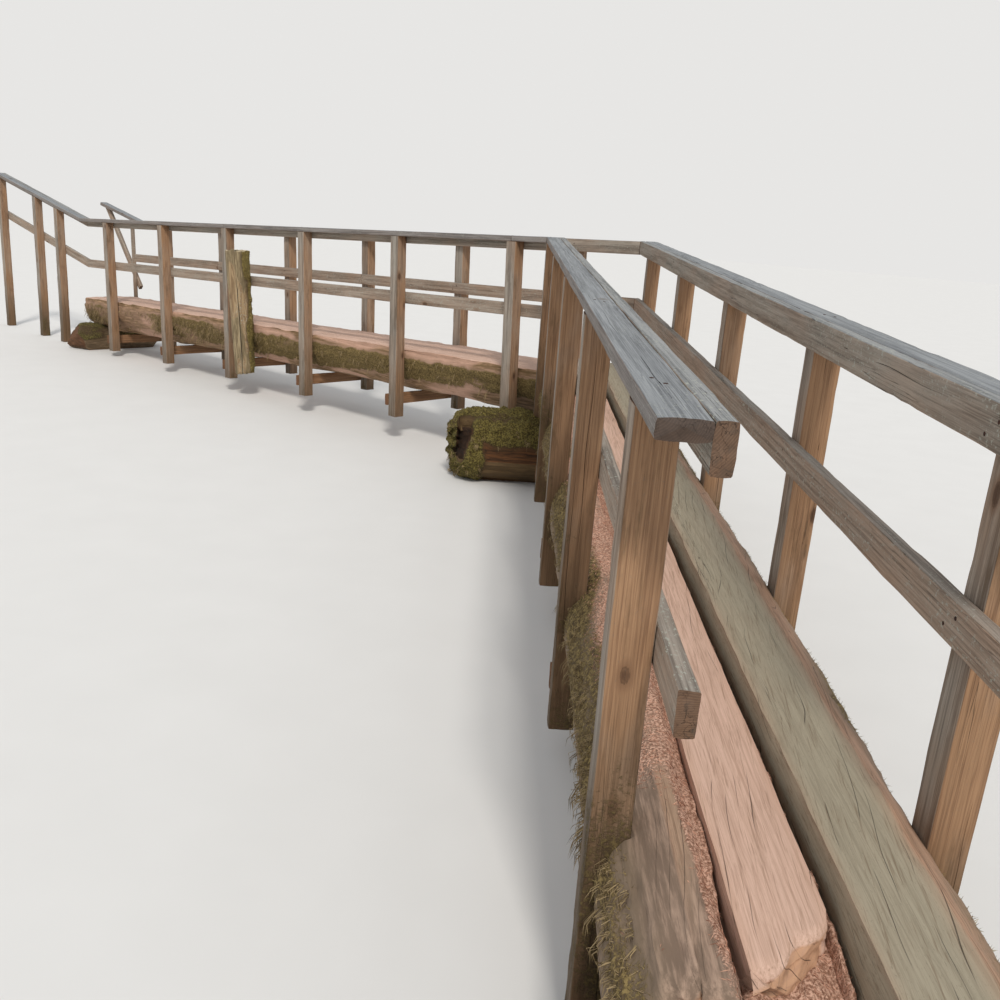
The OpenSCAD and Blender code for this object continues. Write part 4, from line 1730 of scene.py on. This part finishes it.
@dataclass
class FarDeck(Logs):
    """The one large log of the far span and the split log that stands against it."""

    top: float = -0.850
    radii: Pair = (0.312, 0.300)
    split_gain: Notch = (-3.724, -3.600, -1, LAYOUT.post + 0.0015)
    split_at: Triple = (-3.662, LAYOUT.post, -1.315)
    split_tall: float = 1.140
    split_radii: Pair = (0.086, 0.108)
    split_lean: float = 2.5
    split_turn: float = -42.0
    parted: float = 0.14

    def build(self) -> None:
        """Builds the log and the split log."""
        self._place("far_log", "hewn", self._log().skin(FAR, Lie.ALONG), PALE_WOOD)
        self._place("split_post", "halves", self._split_log(), SPLIT_WOOD)

    def _log(self) -> Log:
        """The large log, hewn flat on top, with moss and bark down its sides."""
        heart, finish = LAYOUT.far_heart_z, -(LAYOUT.bank_start + 0.350)
        posts = notches_for(FAR, FAR_POSTS + ["bank_thin_post"])

        def moss(p: Array) -> Array:
            """Patches down the sides, thinner toward the bank, that end in a ragged beard."""
            x, z = p[..., 0], p[..., 2]
            patches = 0.45 * NOISE.at(p, (1.7, 4, 4), 2)
            drips = 0.016 * NOISE.at(p, (11, 5, 5), 3)
            lip = 0.862 + 0.022 * ease(x, -4.8, -3.6)
            foot = -1.17 + 0.05 * ease(x, -2.8, -1.6)
            beard = ease(z + 1.5 * drips, foot, foot + 0.07) * ease(drips - z, lip, lip + 0.07)
            return np.clip(0.95 + patches - 0.45 * ease(-x, 4.0, 5.2), 0, 1) * beard

        return Log(
            "far_log", (LAYOUT.middle, heart), self.radii, [Flat(0, 1, self.top)],
            [
                axe_cut((finish + 0.060, LAYOUT.middle, heart), 14, -20, -1),
                axe_cut((finish + 0.050, LAYOUT.middle, self.top), -18, 8, -1),
            ],
            [bend_cut(FAR, Lie.ALONG, -LAYOUT.log_joint / 2)], (LAYOUT.middle, self.top - 0.100), columns=128,
            moss=moss, bare=lambda p: ease(NOISE.at(p + 3.0, (1.5, 4, 5), 2), 0.05, 0.3),
            notches=posts + [self.split_gain], rough=0.012, edge=0.016, edge_width=0.024, hew=0.004,
            flake=0.006, shag=0.003, step=0.016, cushion=0.0015, blunt=0.025, chop=0.012,
        )

    def _split_log(self) -> Skin:
        """A leaning round log, split from its top into two halves that have parted a little."""
        tall, (foot, top) = self.split_tall, self.split_radii
        flare = degrees(atan((top - foot) / tall))
        stand = Matrix.Translation(self.split_at) @ turned("Y", -self.split_lean) @ turned("X", flare)
        axis = Matrix(FAR.matrix.tolist()) @ stand @ Matrix.Translation((0, -foot, 0))
        along, across = cos(radians(self.split_turn)), sin(radians(self.split_turn))

        def moss(p: Array) -> Array:
            """Moss down one side."""
            sideways = 0.74 * p[..., 0] + 0.68 * p[..., 1] + 0.02 * NOISE.at(p, (9, 9, 5), 2)
            return 0.8 * ease(sideways, 0.055, 0.090)

        skins = []
        for number, sign in enumerate((-1, 1)):
            turn = Matrix.Rotation(radians(-sign * self.parted), 4, Vector((along, across, 0)))
            half = Log(
                f"split_post_{number}", (0.0, 0.0), (foot, top),
                [Flat(sign * across, -sign * along, -0.0006)], [Cut(0.008, 0.05)],
                [Cut(tall - 0.008 - 0.007 * number, -0.05 * sign, 0.03)],
                (-0.04 * sign * across, 0.04 * sign * along), columns=72, step=0.018, rough=0.006, edge=0.003,
                hew=0.001, chop=0.006, moss=moss, flake=0.004,
                bare=lambda p: ease(NOISE.at(p + 9.0, (13, 13, 3), 2), 0.0, 0.15),
            )
            skins.append(half.skin(Span(axis @ turn), Lie.UP))
        return Skin.joined(skins)


@dataclass
class Sills(Logs):
    """The logs that the bridge rests on at its bend and at its two ends."""

    near_radius: float = 0.190
    far_radius: float = 0.180
    half_length: float = 0.575
    far_seat: Pair = (0.311, 0.311)
    bend_seat: Pair = (0.300, 0.300)
    bend_radius: float = 0.245
    bend_heart: Pair = (0.235, -0.060)
    bend_start: float = -0.630
    bend_face: float = 0.2107
    bend_tip: float = 12.0
    hole: Pair = (0.290, -0.090)
    hole_size: Triple = (0.042, 0.130, 0.190)

    def build(self) -> None:
        """Builds the three sills."""
        left = under_log(NEAR_PLAN, NEAR, LAYOUT.left_heart, LAYOUT.left_radii, LAYOUT.near_base)
        right = under_log(NEAR_PLAN, NEAR, LAYOUT.right_heart, LAYOUT.right_radii, LAYOUT.near_base)
        heart, deep = (LAYOUT.middle, LAYOUT.far_heart_z), -9.0
        from_far = under_log(NEAR_PLAN, FAR, heart, self.bend_seat, deep, beyond_bend=True)
        near = self._round("near_sill", 0.022, LAYOUT.near_span + 0.300, self.near_radius)
        near.sink = lambda p: np.maximum(left(p), right(p))
        far = self._round("far_sill", 0.065, -(LAYOUT.bank_start + 0.020), self.far_radius)
        far.sink = under_log(FLOOR, FAR, heart, self.far_seat, deep)
        bend = self._bend()
        bend.sink = lambda p: np.maximum(np.maximum(left(p), right(p)), from_far(p))
        for node, shape, span, finish in (
            ("near_sill", near, NEAR_PLAN, SILL_WOOD),
            ("far_sill", far, FLOOR, SILL_WOOD),
            ("bend_sill", bend, NEAR_PLAN, MOSSY_WOOD),
        ):
            self._place(node, "round", shape.skin(span, Lie.ACROSS), finish)

    def _round(self, name: str, flattened: float, x: float, radius: float) -> Log:
        """A plain sill, flat where it bears and chopped at both ends.

        Args:
            name: Its name.
            flattened: How much of the round is cut away at the foot.
            x: Its place along the span.
            radius: Its radius.

        Returns:
            The log.
        """
        z = radius - flattened
        first, last = LAYOUT.middle - self.half_length, LAYOUT.middle + self.half_length

        def moss(p: Array) -> Array:
            """Patches on the upper half."""
            return (0.45 + 0.6 * NOISE.at(p, (4, 4, 4), 2)) * ease(p[..., 2], z * 0.7, z * 1.5)

        return Log(
            name, (z, x), (radius - 0.002, radius - 0.002), [Flat(-1, 0, 0)], self._chopped(first, z, x, -1),
            self._chopped(last, z, x, 1), (z, x), columns=96, floor_flat=0, moss=moss, rough=0.007,
            chop=0.012, blunt=0.035,
        )

    def _chopped(self, at: float, z: float, x: float, facing: int, steep: float = 1.0) -> list[Cut]:
        """The two cuts of a sill's end.

        Args:
            at: Where the sill ends.
            z: The height of its heart.
            x: The place of its heart along the span.
            facing: 1 at its end and -1 at its start.
            steep: The share of the usual slant.

        Returns:
            The cuts.
        """
        turns = ((0.030, 12, 24), (0.040, -20, -28)) if facing == 1 else ((0.030, -14, 26), (0.040, 16, -24))
        cuts = []
        for inset, yaw, tip in turns:
            slope_v = -facing * tan(radians(tip * steep)) / cos(radians(yaw))
            slope_w = tan(radians(yaw))
            place = at - facing * 0.010 - facing * inset
            cuts.append(Cut(place - slope_v * z - slope_w * x, slope_v, slope_w))
        return cuts

    def _bend(self) -> Log:
        """The thick mossy sill at the bend, hewn on one side and hollow with rot at its left end."""
        (z, x), radius, first = self.bend_heart, self.bend_radius - 0.003, self.bend_start
        tip = radians(self.bend_tip)
        hewn = Flat(sin(tip), cos(tip), self.bend_face + sin(tip) * z + cos(tip) * x)
        (hole_z, hole_x), (wide, tall, deep) = self.hole, self.hole_size

        def hollow(p: Array) -> Array:
            """The rotten hole in the left end."""
            up = np.maximum(np.abs(p[..., 1] - hole_z) - tall / 2, 0)
            away = np.hypot(up, p[..., 2] - hole_x) + 0.012 * NOISE.at(p, (9, 30, 30), 2)
            return deep * (1 - ease(away, wide * 0.75, wide * 1.1)) * (p[..., 0] < first + 0.3)

        def cleft(p: Array) -> Array:
            """The deep split in the left end's front."""
            along, across, up = (p[..., axis] for axis in range(3))
            ragged = 0.05 * NOISE.at(p, (9, 9, 14), 3)
            away = np.abs(across - first - 0.145 - 0.15 * (up - z)) + ragged * 0.3
            reach = ease(up + ragged, z - 0.10, z - 0.05) * (1 - ease(up + ragged, z + 0.17, z + 0.22))
            return 0.090 * (1 - ease(away, 0.022, 0.046)) * reach * (along > x)

        def moss(p: Array) -> Array:
            """Over the top and all round the left end."""
            patches = 0.5 * NOISE.at(p, (5, 5, 5), 2)
            up, inward = p[..., 2] + patches * 0.12, p[..., 1] + patches * 0.3
            top = ease(up, z + 0.02, z + 0.10) * (1 - ease(inward, 0.10, 0.30))
            left_end = 1 - ease(p[..., 1] + patches * 0.2, first + 0.22, first + 0.34)
            return np.clip(1.15 + patches, 0, 1) * np.maximum(top, left_end)

        last = LAYOUT.middle * 2 + 0.220
        return Log(
            "bend_sill", (z, x), (radius, radius), [Flat(-1, 0, 0), hewn],
            self._chopped(first, z, x, -1, 0.4), self._chopped(last, z, x, 1), (z, x), columns=136,
            step=0.014, floor_flat=0, moss=moss, hollow=hollow, rough=0.014, hew=0.006, edge=0.012,
            cap_rings=26, chop=0.018, pit=cleft, blunt=0.12, cushion=0.010, mossy_ends=0.9,
        )


@dataclass(frozen=True)
class Crop:
    """How many small things of a kind there are, with their usual length and width in metres."""

    count: int
    length: float
    width: float


class Scatter:
    """Scatters small closed things over a skin."""

    thirds = (0.0, 2.094, 4.189)
    floor_gap = 0.001

    def __init__(self, skin: Skin, weight: Weight, name: str) -> None:
        """Works out where things may go.

        Args:
            skin: The skin that carries them.
            weight: The share that each face gets, from its middle and its normal.
            name: Names the random numbers.
        """
        self.rng = seeded(name)
        corners = skin.points[skin.quads]
        across = np.cross(corners[:, 2] - corners[:, 0], corners[:, 3] - corners[:, 1])
        area = np.linalg.norm(across, axis=1) + 1e-12
        self.corners = corners
        self.normals = across / area[:, None]
        share = np.clip(weight(corners.mean(1), self.normals), 0, None) * area
        self.share = share / share.sum()

    def spots(self, count: int) -> tuple[Array, Array]:
        """Picks places on the skin.

        Args:
            count: How many.

        Returns:
            The places and the skin's normals there.
        """
        faces = self.rng.choice(len(self.share), count, p=self.share)
        a, b = self.rng.uniform(0, 1, (2, count, 1))
        c = self.corners[faces]
        places = (c[:, 0] * (1 - a) + c[:, 1] * a) * (1 - b) + (c[:, 3] * (1 - a) + c[:, 2] * a) * b
        return places, self.normals[faces]

    def spikes(self, crop: Crop, lean: float = 0.9) -> Skin:
        """Makes short stalks that stand on the skin, such as moss.

        Args:
            crop: How many there are, and their size.
            lean: How much they point away from the normal.

        Returns:
            Their skin.
        """
        places, normals = self.spots(crop.count)
        way = normals + lean * self.rng.normal(0, 0.5, places.shape) + np.array([0, 0, 0.25])
        way /= np.linalg.norm(way, axis=1)[:, None]
        long = crop.length * self.rng.uniform(0.5, 1.5, (crop.count, 1))
        return self._tubes([(places - way * 0.002, crop.width), (places + way * long, 0.0)], way)

    def needles(self, crop: Crop, lift: float = 0.15) -> Skin:
        """Makes needles and bits of twig that lie on the skin.

        Args:
            crop: How many there are, and their size.
            lift: How much they tilt out of the skin.

        Returns:
            Their skin.
        """
        places, normals = self.spots(crop.count)
        way = self.rng.normal(0, 1, places.shape)
        way -= (way * normals).sum(1, keepdims=True) * normals
        way /= np.linalg.norm(way, axis=1)[:, None]
        way = way + normals * lift * self.rng.normal(0, 1, (crop.count, 1))
        long = crop.length * self.rng.uniform(0.4, 1.4, (crop.count, 1))
        seat = places + normals * crop.width
        rings = [(seat - way * long / 2, 0.0), (seat, crop.width), (seat + way * long / 2, 0.0)]
        return self._tubes(rings, way)

    def strands(self, crop: Crop, bunch: int = 6) -> Skin:
        """Makes rootlets and strings of moss that hang down from the skin in bunches.

        Args:
            crop: How many there are, and their size.
            bunch: How many hang together.

        Returns:
            Their skin.
        """
        places, normals = (part.repeat(bunch, 0) for part in self.spots(crop.count // bunch))
        shared = self.rng.normal(0, 1, (crop.count // bunch, 4)).repeat(bunch, 0)
        own = self.rng.normal(0, 1, (len(places), 6))
        long = crop.length * np.clip(1 + 0.4 * shared[:, 3:] + 0.25 * own[:, 5:], 0.2, 2.2)
        sway = 0.16 * shared[:, :3] + 0.12 * own[:, :3]
        start = places + np.stack([own[:, 3], own[:, 4], own[:, 3] * 0], -1) * 0.006
        down = np.array([0, 0, -1.0])
        low = start + normals * 0.012 + (down * 0.5 + sway * 0.4) * long
        tip = start + normals * 0.008 + (down + sway) * long
        rings = [(start - normals * 0.006, crop.width), (low, crop.width * 0.8), (tip, 0.0)]
        return self._tubes(rings, down + sway * 0.1)

    def _tubes(self, rings: list[tuple[Array, float]], way: Array) -> Skin:
        """Three-sided tubes through the rings' middles.

        Args:
            rings: Middles and half-width of each ring. A ring with no width is a point.
            way: Which way the tubes run.

        Returns:
            Their skin, each closed.
        """
        side = np.cross(way, self.rng.normal(0, 1, way.shape))
        side /= np.linalg.norm(side, axis=1)[:, None] + 1e-12
        other = np.cross(way, side)
        other /= np.linalg.norm(other, axis=1)[:, None] + 1e-12
        points, tris, last = [], [], []
        for middle, half in rings:
            ring = list(range(len(points), len(points) + (len(self.thirds) if half else 1)))
            for turn in self.thirds if half else (0.0,):
                points.append(middle + (side * cos(turn) + other * sin(turn)) * half)
            for k in range(3) if last else ():
                a, b = last[k % len(last)], last[(k + 1) % len(last)]
                c, d = ring[(k + 1) % len(ring)], ring[k % len(ring)]
                tris += [t for t in ((a, b, c), (a, c, d)) if len(set(t)) == 3]
            if half and not last:
                tris.append((2, 1, 0))
            last = ring
        cloud = np.stack(points, 1)
        faces = np.array(tris)[None] + (np.arange(len(way)) * len(points))[:, None, None]
        tone = np.repeat(self.rng.uniform(0, 1, len(way)), len(points))
        flat = cloud.reshape(-1, 3)
        flat[:, 2] = np.maximum(flat[:, 2], self.floor_gap)
        return Skin(flat, np.zeros((0, 4), int), faces.reshape(-1, 3), {"tone": tone})


@dataclass
class Growth:
    """Moss, rootlets and needle litter on the logs."""

    shop: Workshop
    near: NearDeck
    far: FarDeck
    sills: Sills
    stalk_width: float = 0.0009
    rootlet_width: float = 0.0011
    moss: CrumbFinish = CrumbFinish("moss_stalks", rgb(80, 66, 40), rgb(162, 142, 94))
    bright: CrumbFinish = CrumbFinish("bright_moss", rgb(70, 64, 32), rgb(148, 140, 80))
    straw: CrumbFinish = CrumbFinish("dry_rootlets", rgb(92, 76, 52), rgb(172, 150, 112))
    needle: CrumbFinish = CrumbFinish("fallen_needles", rgb(112, 70, 52), rgb(222, 172, 146))

    def build(self) -> None:
        """Builds a piece for each kind of growth on each log."""
        skins = self.near.skins | self.far.skins | self.sills.skins
        for node, count, length, finish in (
            ("bend_sill", 8000, 0.010, self.bright),
            ("far_log", 5500, 0.006, self.moss),
            ("near_left_log", 7000, 0.011, self.moss),
            ("split_post", 1500, 0.008, self.bright),
            ("near_right_log", 3500, 0.009, self.moss),
        ):
            scatter = self._on_moss(skins[node], f"{node}_moss", (0.3, 0.7), lambda p, n: 1.0)
            self.shop.place(f"{node}_moss", scatter.spikes(Crop(count, length, self.stalk_width)), finish)
        for node, count, length, where in (
            ("far_log", 6000, 0.042, self._toward_bank),
            ("near_left_log", 2400, 0.034, self._toward_end),
            ("bend_sill", 1200, 0.030, lambda p, n: n[:, 2] > -0.6),
        ):
            scatter = self._on_moss(skins[node], f"{node}_rootlets", (0.25, 0.6), where)
            rootlets = scatter.strands(Crop(count, length, self.rootlet_width))
            self.shop.place(f"{node}_rootlets", rootlets, self.straw)
        self._litter(skins["near_left_log"])

    @staticmethod
    def _toward_bank(p: Array, n: Array) -> Array:
        """More of them toward the far bank, and none on the underside."""
        return (0.12 + ease(-p[:, 0], 2.6, 5.5)) * (n[:, 2] > -0.6)

    @staticmethod
    def _toward_end(p: Array, n: Array) -> Array:
        """More of them toward the near span's end, and none on the underside."""
        return (ease(-NEAR.from_frame(p)[:, 0], -3.4, -5.0) + 0.1) * (n[:, 2] > -0.6)

    @staticmethod
    def _on_moss(skin: Skin, name: str, edge: Pair, where: Weight) -> Scatter:
        """Prepares to scatter things where a skin is mossy by more than edge, times another weight."""
        mossy = skin.paint["moss"][skin.quads].mean(1)
        return Scatter(skin, lambda places, normals: ease(mossy, *edge) * where(places, normals), name)

    def _litter(self, log_skin: Skin) -> None:
        """Lays fallen needles on the left log and a bed of them in the joint beside the right log."""
        painted = log_skin.paint["duff"][log_skin.quads].mean(1)
        share = ease(painted, 0.15, 0.6)
        on_log = Scatter(log_skin, lambda p, n: share + 0.02 * (n[:, 2] > 0.8), "left_litter")
        self.shop.place("near_left_log_needles", on_log.needles(Crop(8000, 0.018, 0.0008)), self.needle)
        bed = Skin.joined([
            Timber(
                f"litter_{low[0]}", low, high, [Cut(low[0])], [Cut(high[0])], (0, 0, 0, 0), step=0.018,
                cracks=0, columns=columns, wear=0.006, rim=0.004, bow=0.0,
            ).skin(NEAR, Lie.ALONG)
            for low, high, columns in (
                (np.array([3.2, 0.4115, -0.970]), np.array([5.30, 0.4292, -0.880]), 6),
                (np.array([5.16, 0.240, -0.975]), np.array([5.44, 0.4292, -0.905]), 18),
            )
        ])
        along = NEAR.from_frame(bed.points)[:, 0]
        bed.points[:, 2] += 0.014 * NOISE.at(bed.points, (22, 22, 1), 2) - 0.05 * ease(along, 5.26, 5.44)
        bed.paint["duff"][:] = 1.0
        self.shop.place("near_joint_litter", bed, HEWN_WOOD)
        on_bed = Scatter(bed, lambda p, n: n[:, 2] > 0.3, "joint_needles")
        self.shop.place("near_joint_needles", on_bed.needles(Crop(1800, 0.016, 0.0007)), self.needle)


@dataclass
class Nails:
    """Nail heads where boards meet posts and ties meet posts."""

    shop: Workshop
    posts: Posts
    radius: float = 0.0045
    proud: float = 0.0006
    shank: float = 0.004
    astray: float = 0.003
    rail_z: float = -0.008
    midrail_z: Pair = (-0.4595, -0.3895)

    def build(self) -> None:
        """Builds all nail heads as one piece."""
        skins = []
        for stem, span, nodes in (("near", NEAR, NEAR_POSTS), ("far", FAR, FAR_POSTS)):
            for number, node in enumerate(nodes, 1):
                for row, box in enumerate(self.posts.boxes[node]):
                    skins += self._at_post(f"{stem}{number}{row}", span, box, row)
        self.shop.place("nail_heads", Skin.joined(skins), IronFinish())

    def _at_post(self, name: str, span: Span, box: Box, row: int) -> list[Skin]:
        """Drives two nails down through the cap and two into each board on edge.

        Args:
            name: Names the random numbers.
            span: The post's span.
            box: The post's box.
            row: The number of its row, 0 or 1.

        Returns:
            The nail heads.
        """
        rng = seeded(name)
        x, y = (box.low[0] + box.high[0]) / 2, (box.low[1] + box.high[1]) / 2
        inward = 1 - 2 * row
        inner = (box.low, box.high)[1 - row][1] + inward * LAYOUT.board
        heads = [((x + d, y + d * 0.6, LAYOUT.board), (0, 0, 1)) for d in (-0.022, 0.022)]
        for z in (self.rail_z, self.midrail_z[row]):
            heads += [((x + d, inner, z + d * 0.7), (0, inward, 0)) for d in (-0.02, 0.02)]
        skins = []
        for place, way in heads:
            astray = rng.normal(0, self.astray, 3) * (1 - np.abs(way))
            skins.append(self._head(span, np.array(place) + astray, np.array(way, float)))
        return skins

    def _head(self, span: Span, place: Array, way: Array) -> Skin:
        """One nail head: a shallow dome on a short rim.

        Args:
            span: The span that it belongs to.
            place: The middle of the head on the wood.
            way: The way that it faces, in the span's axes.

        Returns:
            Its skin.
        """
        side, count = np.array([1.0, 0, 0]), 10
        turns = np.linspace(0, 2 * pi, count, endpoint=False)[:, None]
        round_ = side * np.cos(turns) + np.cross(way, side) * np.sin(turns)
        levels = ((1.0, -self.shank), (1.0, 0.3 * self.proud), (0.8, self.proud), (0.4, self.proud * 1.3))
        rings = [place + round_ * self.radius * r + way * h for r, h in levels]
        tip, foot = place + way * self.proud * 1.4, place - way * self.shank
        points = np.concatenate([*rings, tip[None], foot[None]])
        index = np.arange(len(levels) * count).reshape(-1, count)
        fans = [end_fan(index[-1], index.size, False), end_fan(index[0], index.size + 1, True)]
        return Skin(span.to_frame(points), ring_quads(index), np.concatenate(fans))


@dataclass(frozen=True)
class Studio:
    """The pale floor, the soft lights and the camera at the photograph's viewing angle."""

    eye: Triple = (4.3348, -4.9861, 1.7489)
    yaw: float = -42.656
    pitch: float = 15.990
    roll: float = -3.842
    lens: float = 35.0
    floor_size: float = 120.0
    floor_z: float = -0.002

    def build(self) -> None:
        """Sets up the floor, the lights, the camera and the view."""
        self._floor()
        self._lights()
        self._camera()
        bpy.context.scene.view_settings.view_transform = "Standard"

    def _floor(self) -> None:
        """A plain pale floor."""
        bpy.ops.mesh.primitive_plane_add(size=self.floor_size, location=(0, 0, self.floor_z))
        floor = bpy.context.object
        floor.name = "floor"
        g = Graph("pale_floor")
        place = g.node("TexCoord", {}, {}).out("Object")
        speckle = g.noise(place, (3, 3, 3), 2.0)
        floor.data.materials.append(g.finish(g.mixed((0.70, 0.69, 0.67), (0.74, 0.73, 0.71), speckle), 0.9))

    def _lights(self) -> None:
        """An even pale world, whose backdrop is brighter to the eye alone, and a soft high sun."""
        g = WorldGraph("studio")
        lit = g.node("Background", {}, {"Color": (0.93, 0.96, 1.0), "Strength": 0.72})
        seen = g.node("Background", {}, {"Color": (0.800, 0.792, 0.778), "Strength": 1.0})
        path = g.node("LightPath", {}, {})
        share = path
        for kind in ("Is Glossy Ray", "Is Transmission Ray"):
            share = share.most(path.out(kind))
        g.feed(g.output.inputs["Surface"], g.node("MixShader", {}, {0: share, 1: lit, 2: seen}))
        lamp = bpy.data.lights.new("soft_sun", "SUN")
        lamp.energy = 2.0
        lamp.angle = radians(9)
        lamp.color = (1.0, 0.96, 0.90)
        sun = bpy.data.objects.new("soft_sun", lamp)
        sun.rotation_mode = "QUATERNION"
        sun.rotation_quaternion = Vector((0.55, -0.46, 0.72)).to_track_quat("Z", "Y")
        bpy.context.scene.collection.objects.link(sun)

    def _camera(self) -> None:
        """The camera, turned by yaw, pitch and roll."""
        data = bpy.data.cameras.new("camera")
        data.lens = self.lens
        data.sensor_width = 36.0
        data.clip_end = 200.0
        camera = bpy.data.objects.new("camera", data)
        yaw, pitch, roll = (radians(a) for a in (self.yaw, self.pitch, self.roll))
        ahead = Vector((sin(yaw) * cos(pitch), cos(yaw) * cos(pitch), -sin(pitch)))
        level = Vector((cos(yaw), -sin(yaw), 0))
        below = ahead.cross(level)
        right = level * cos(roll) + below * sin(roll)
        down = below * cos(roll) - level * sin(roll)
        turn = Matrix((right, -down, -ahead)).transposed()
        camera.matrix_world = Matrix.Translation(self.eye) @ turn.to_4x4()
        bpy.context.scene.collection.objects.link(camera)
        bpy.context.scene.camera = camera


def main() -> None:
    """Builds the bridge piece by piece and notes its size."""
    logging.basicConfig(level=logging.INFO, format="%(name)s %(message)s", stream=sys.stdout)
    Studio().build()
    shop = Workshop()
    posts, near, far, sills = Posts(shop), NearDeck(shop), FarDeck(shop), Sills(shop)
    for part in (posts, Boards(shop), Ties(shop), near, far, sills):
        part.build()
    Growth(shop, near, far, sills).build()
    Nails(shop, posts).build()


if __name__ == "__main__":
    main()
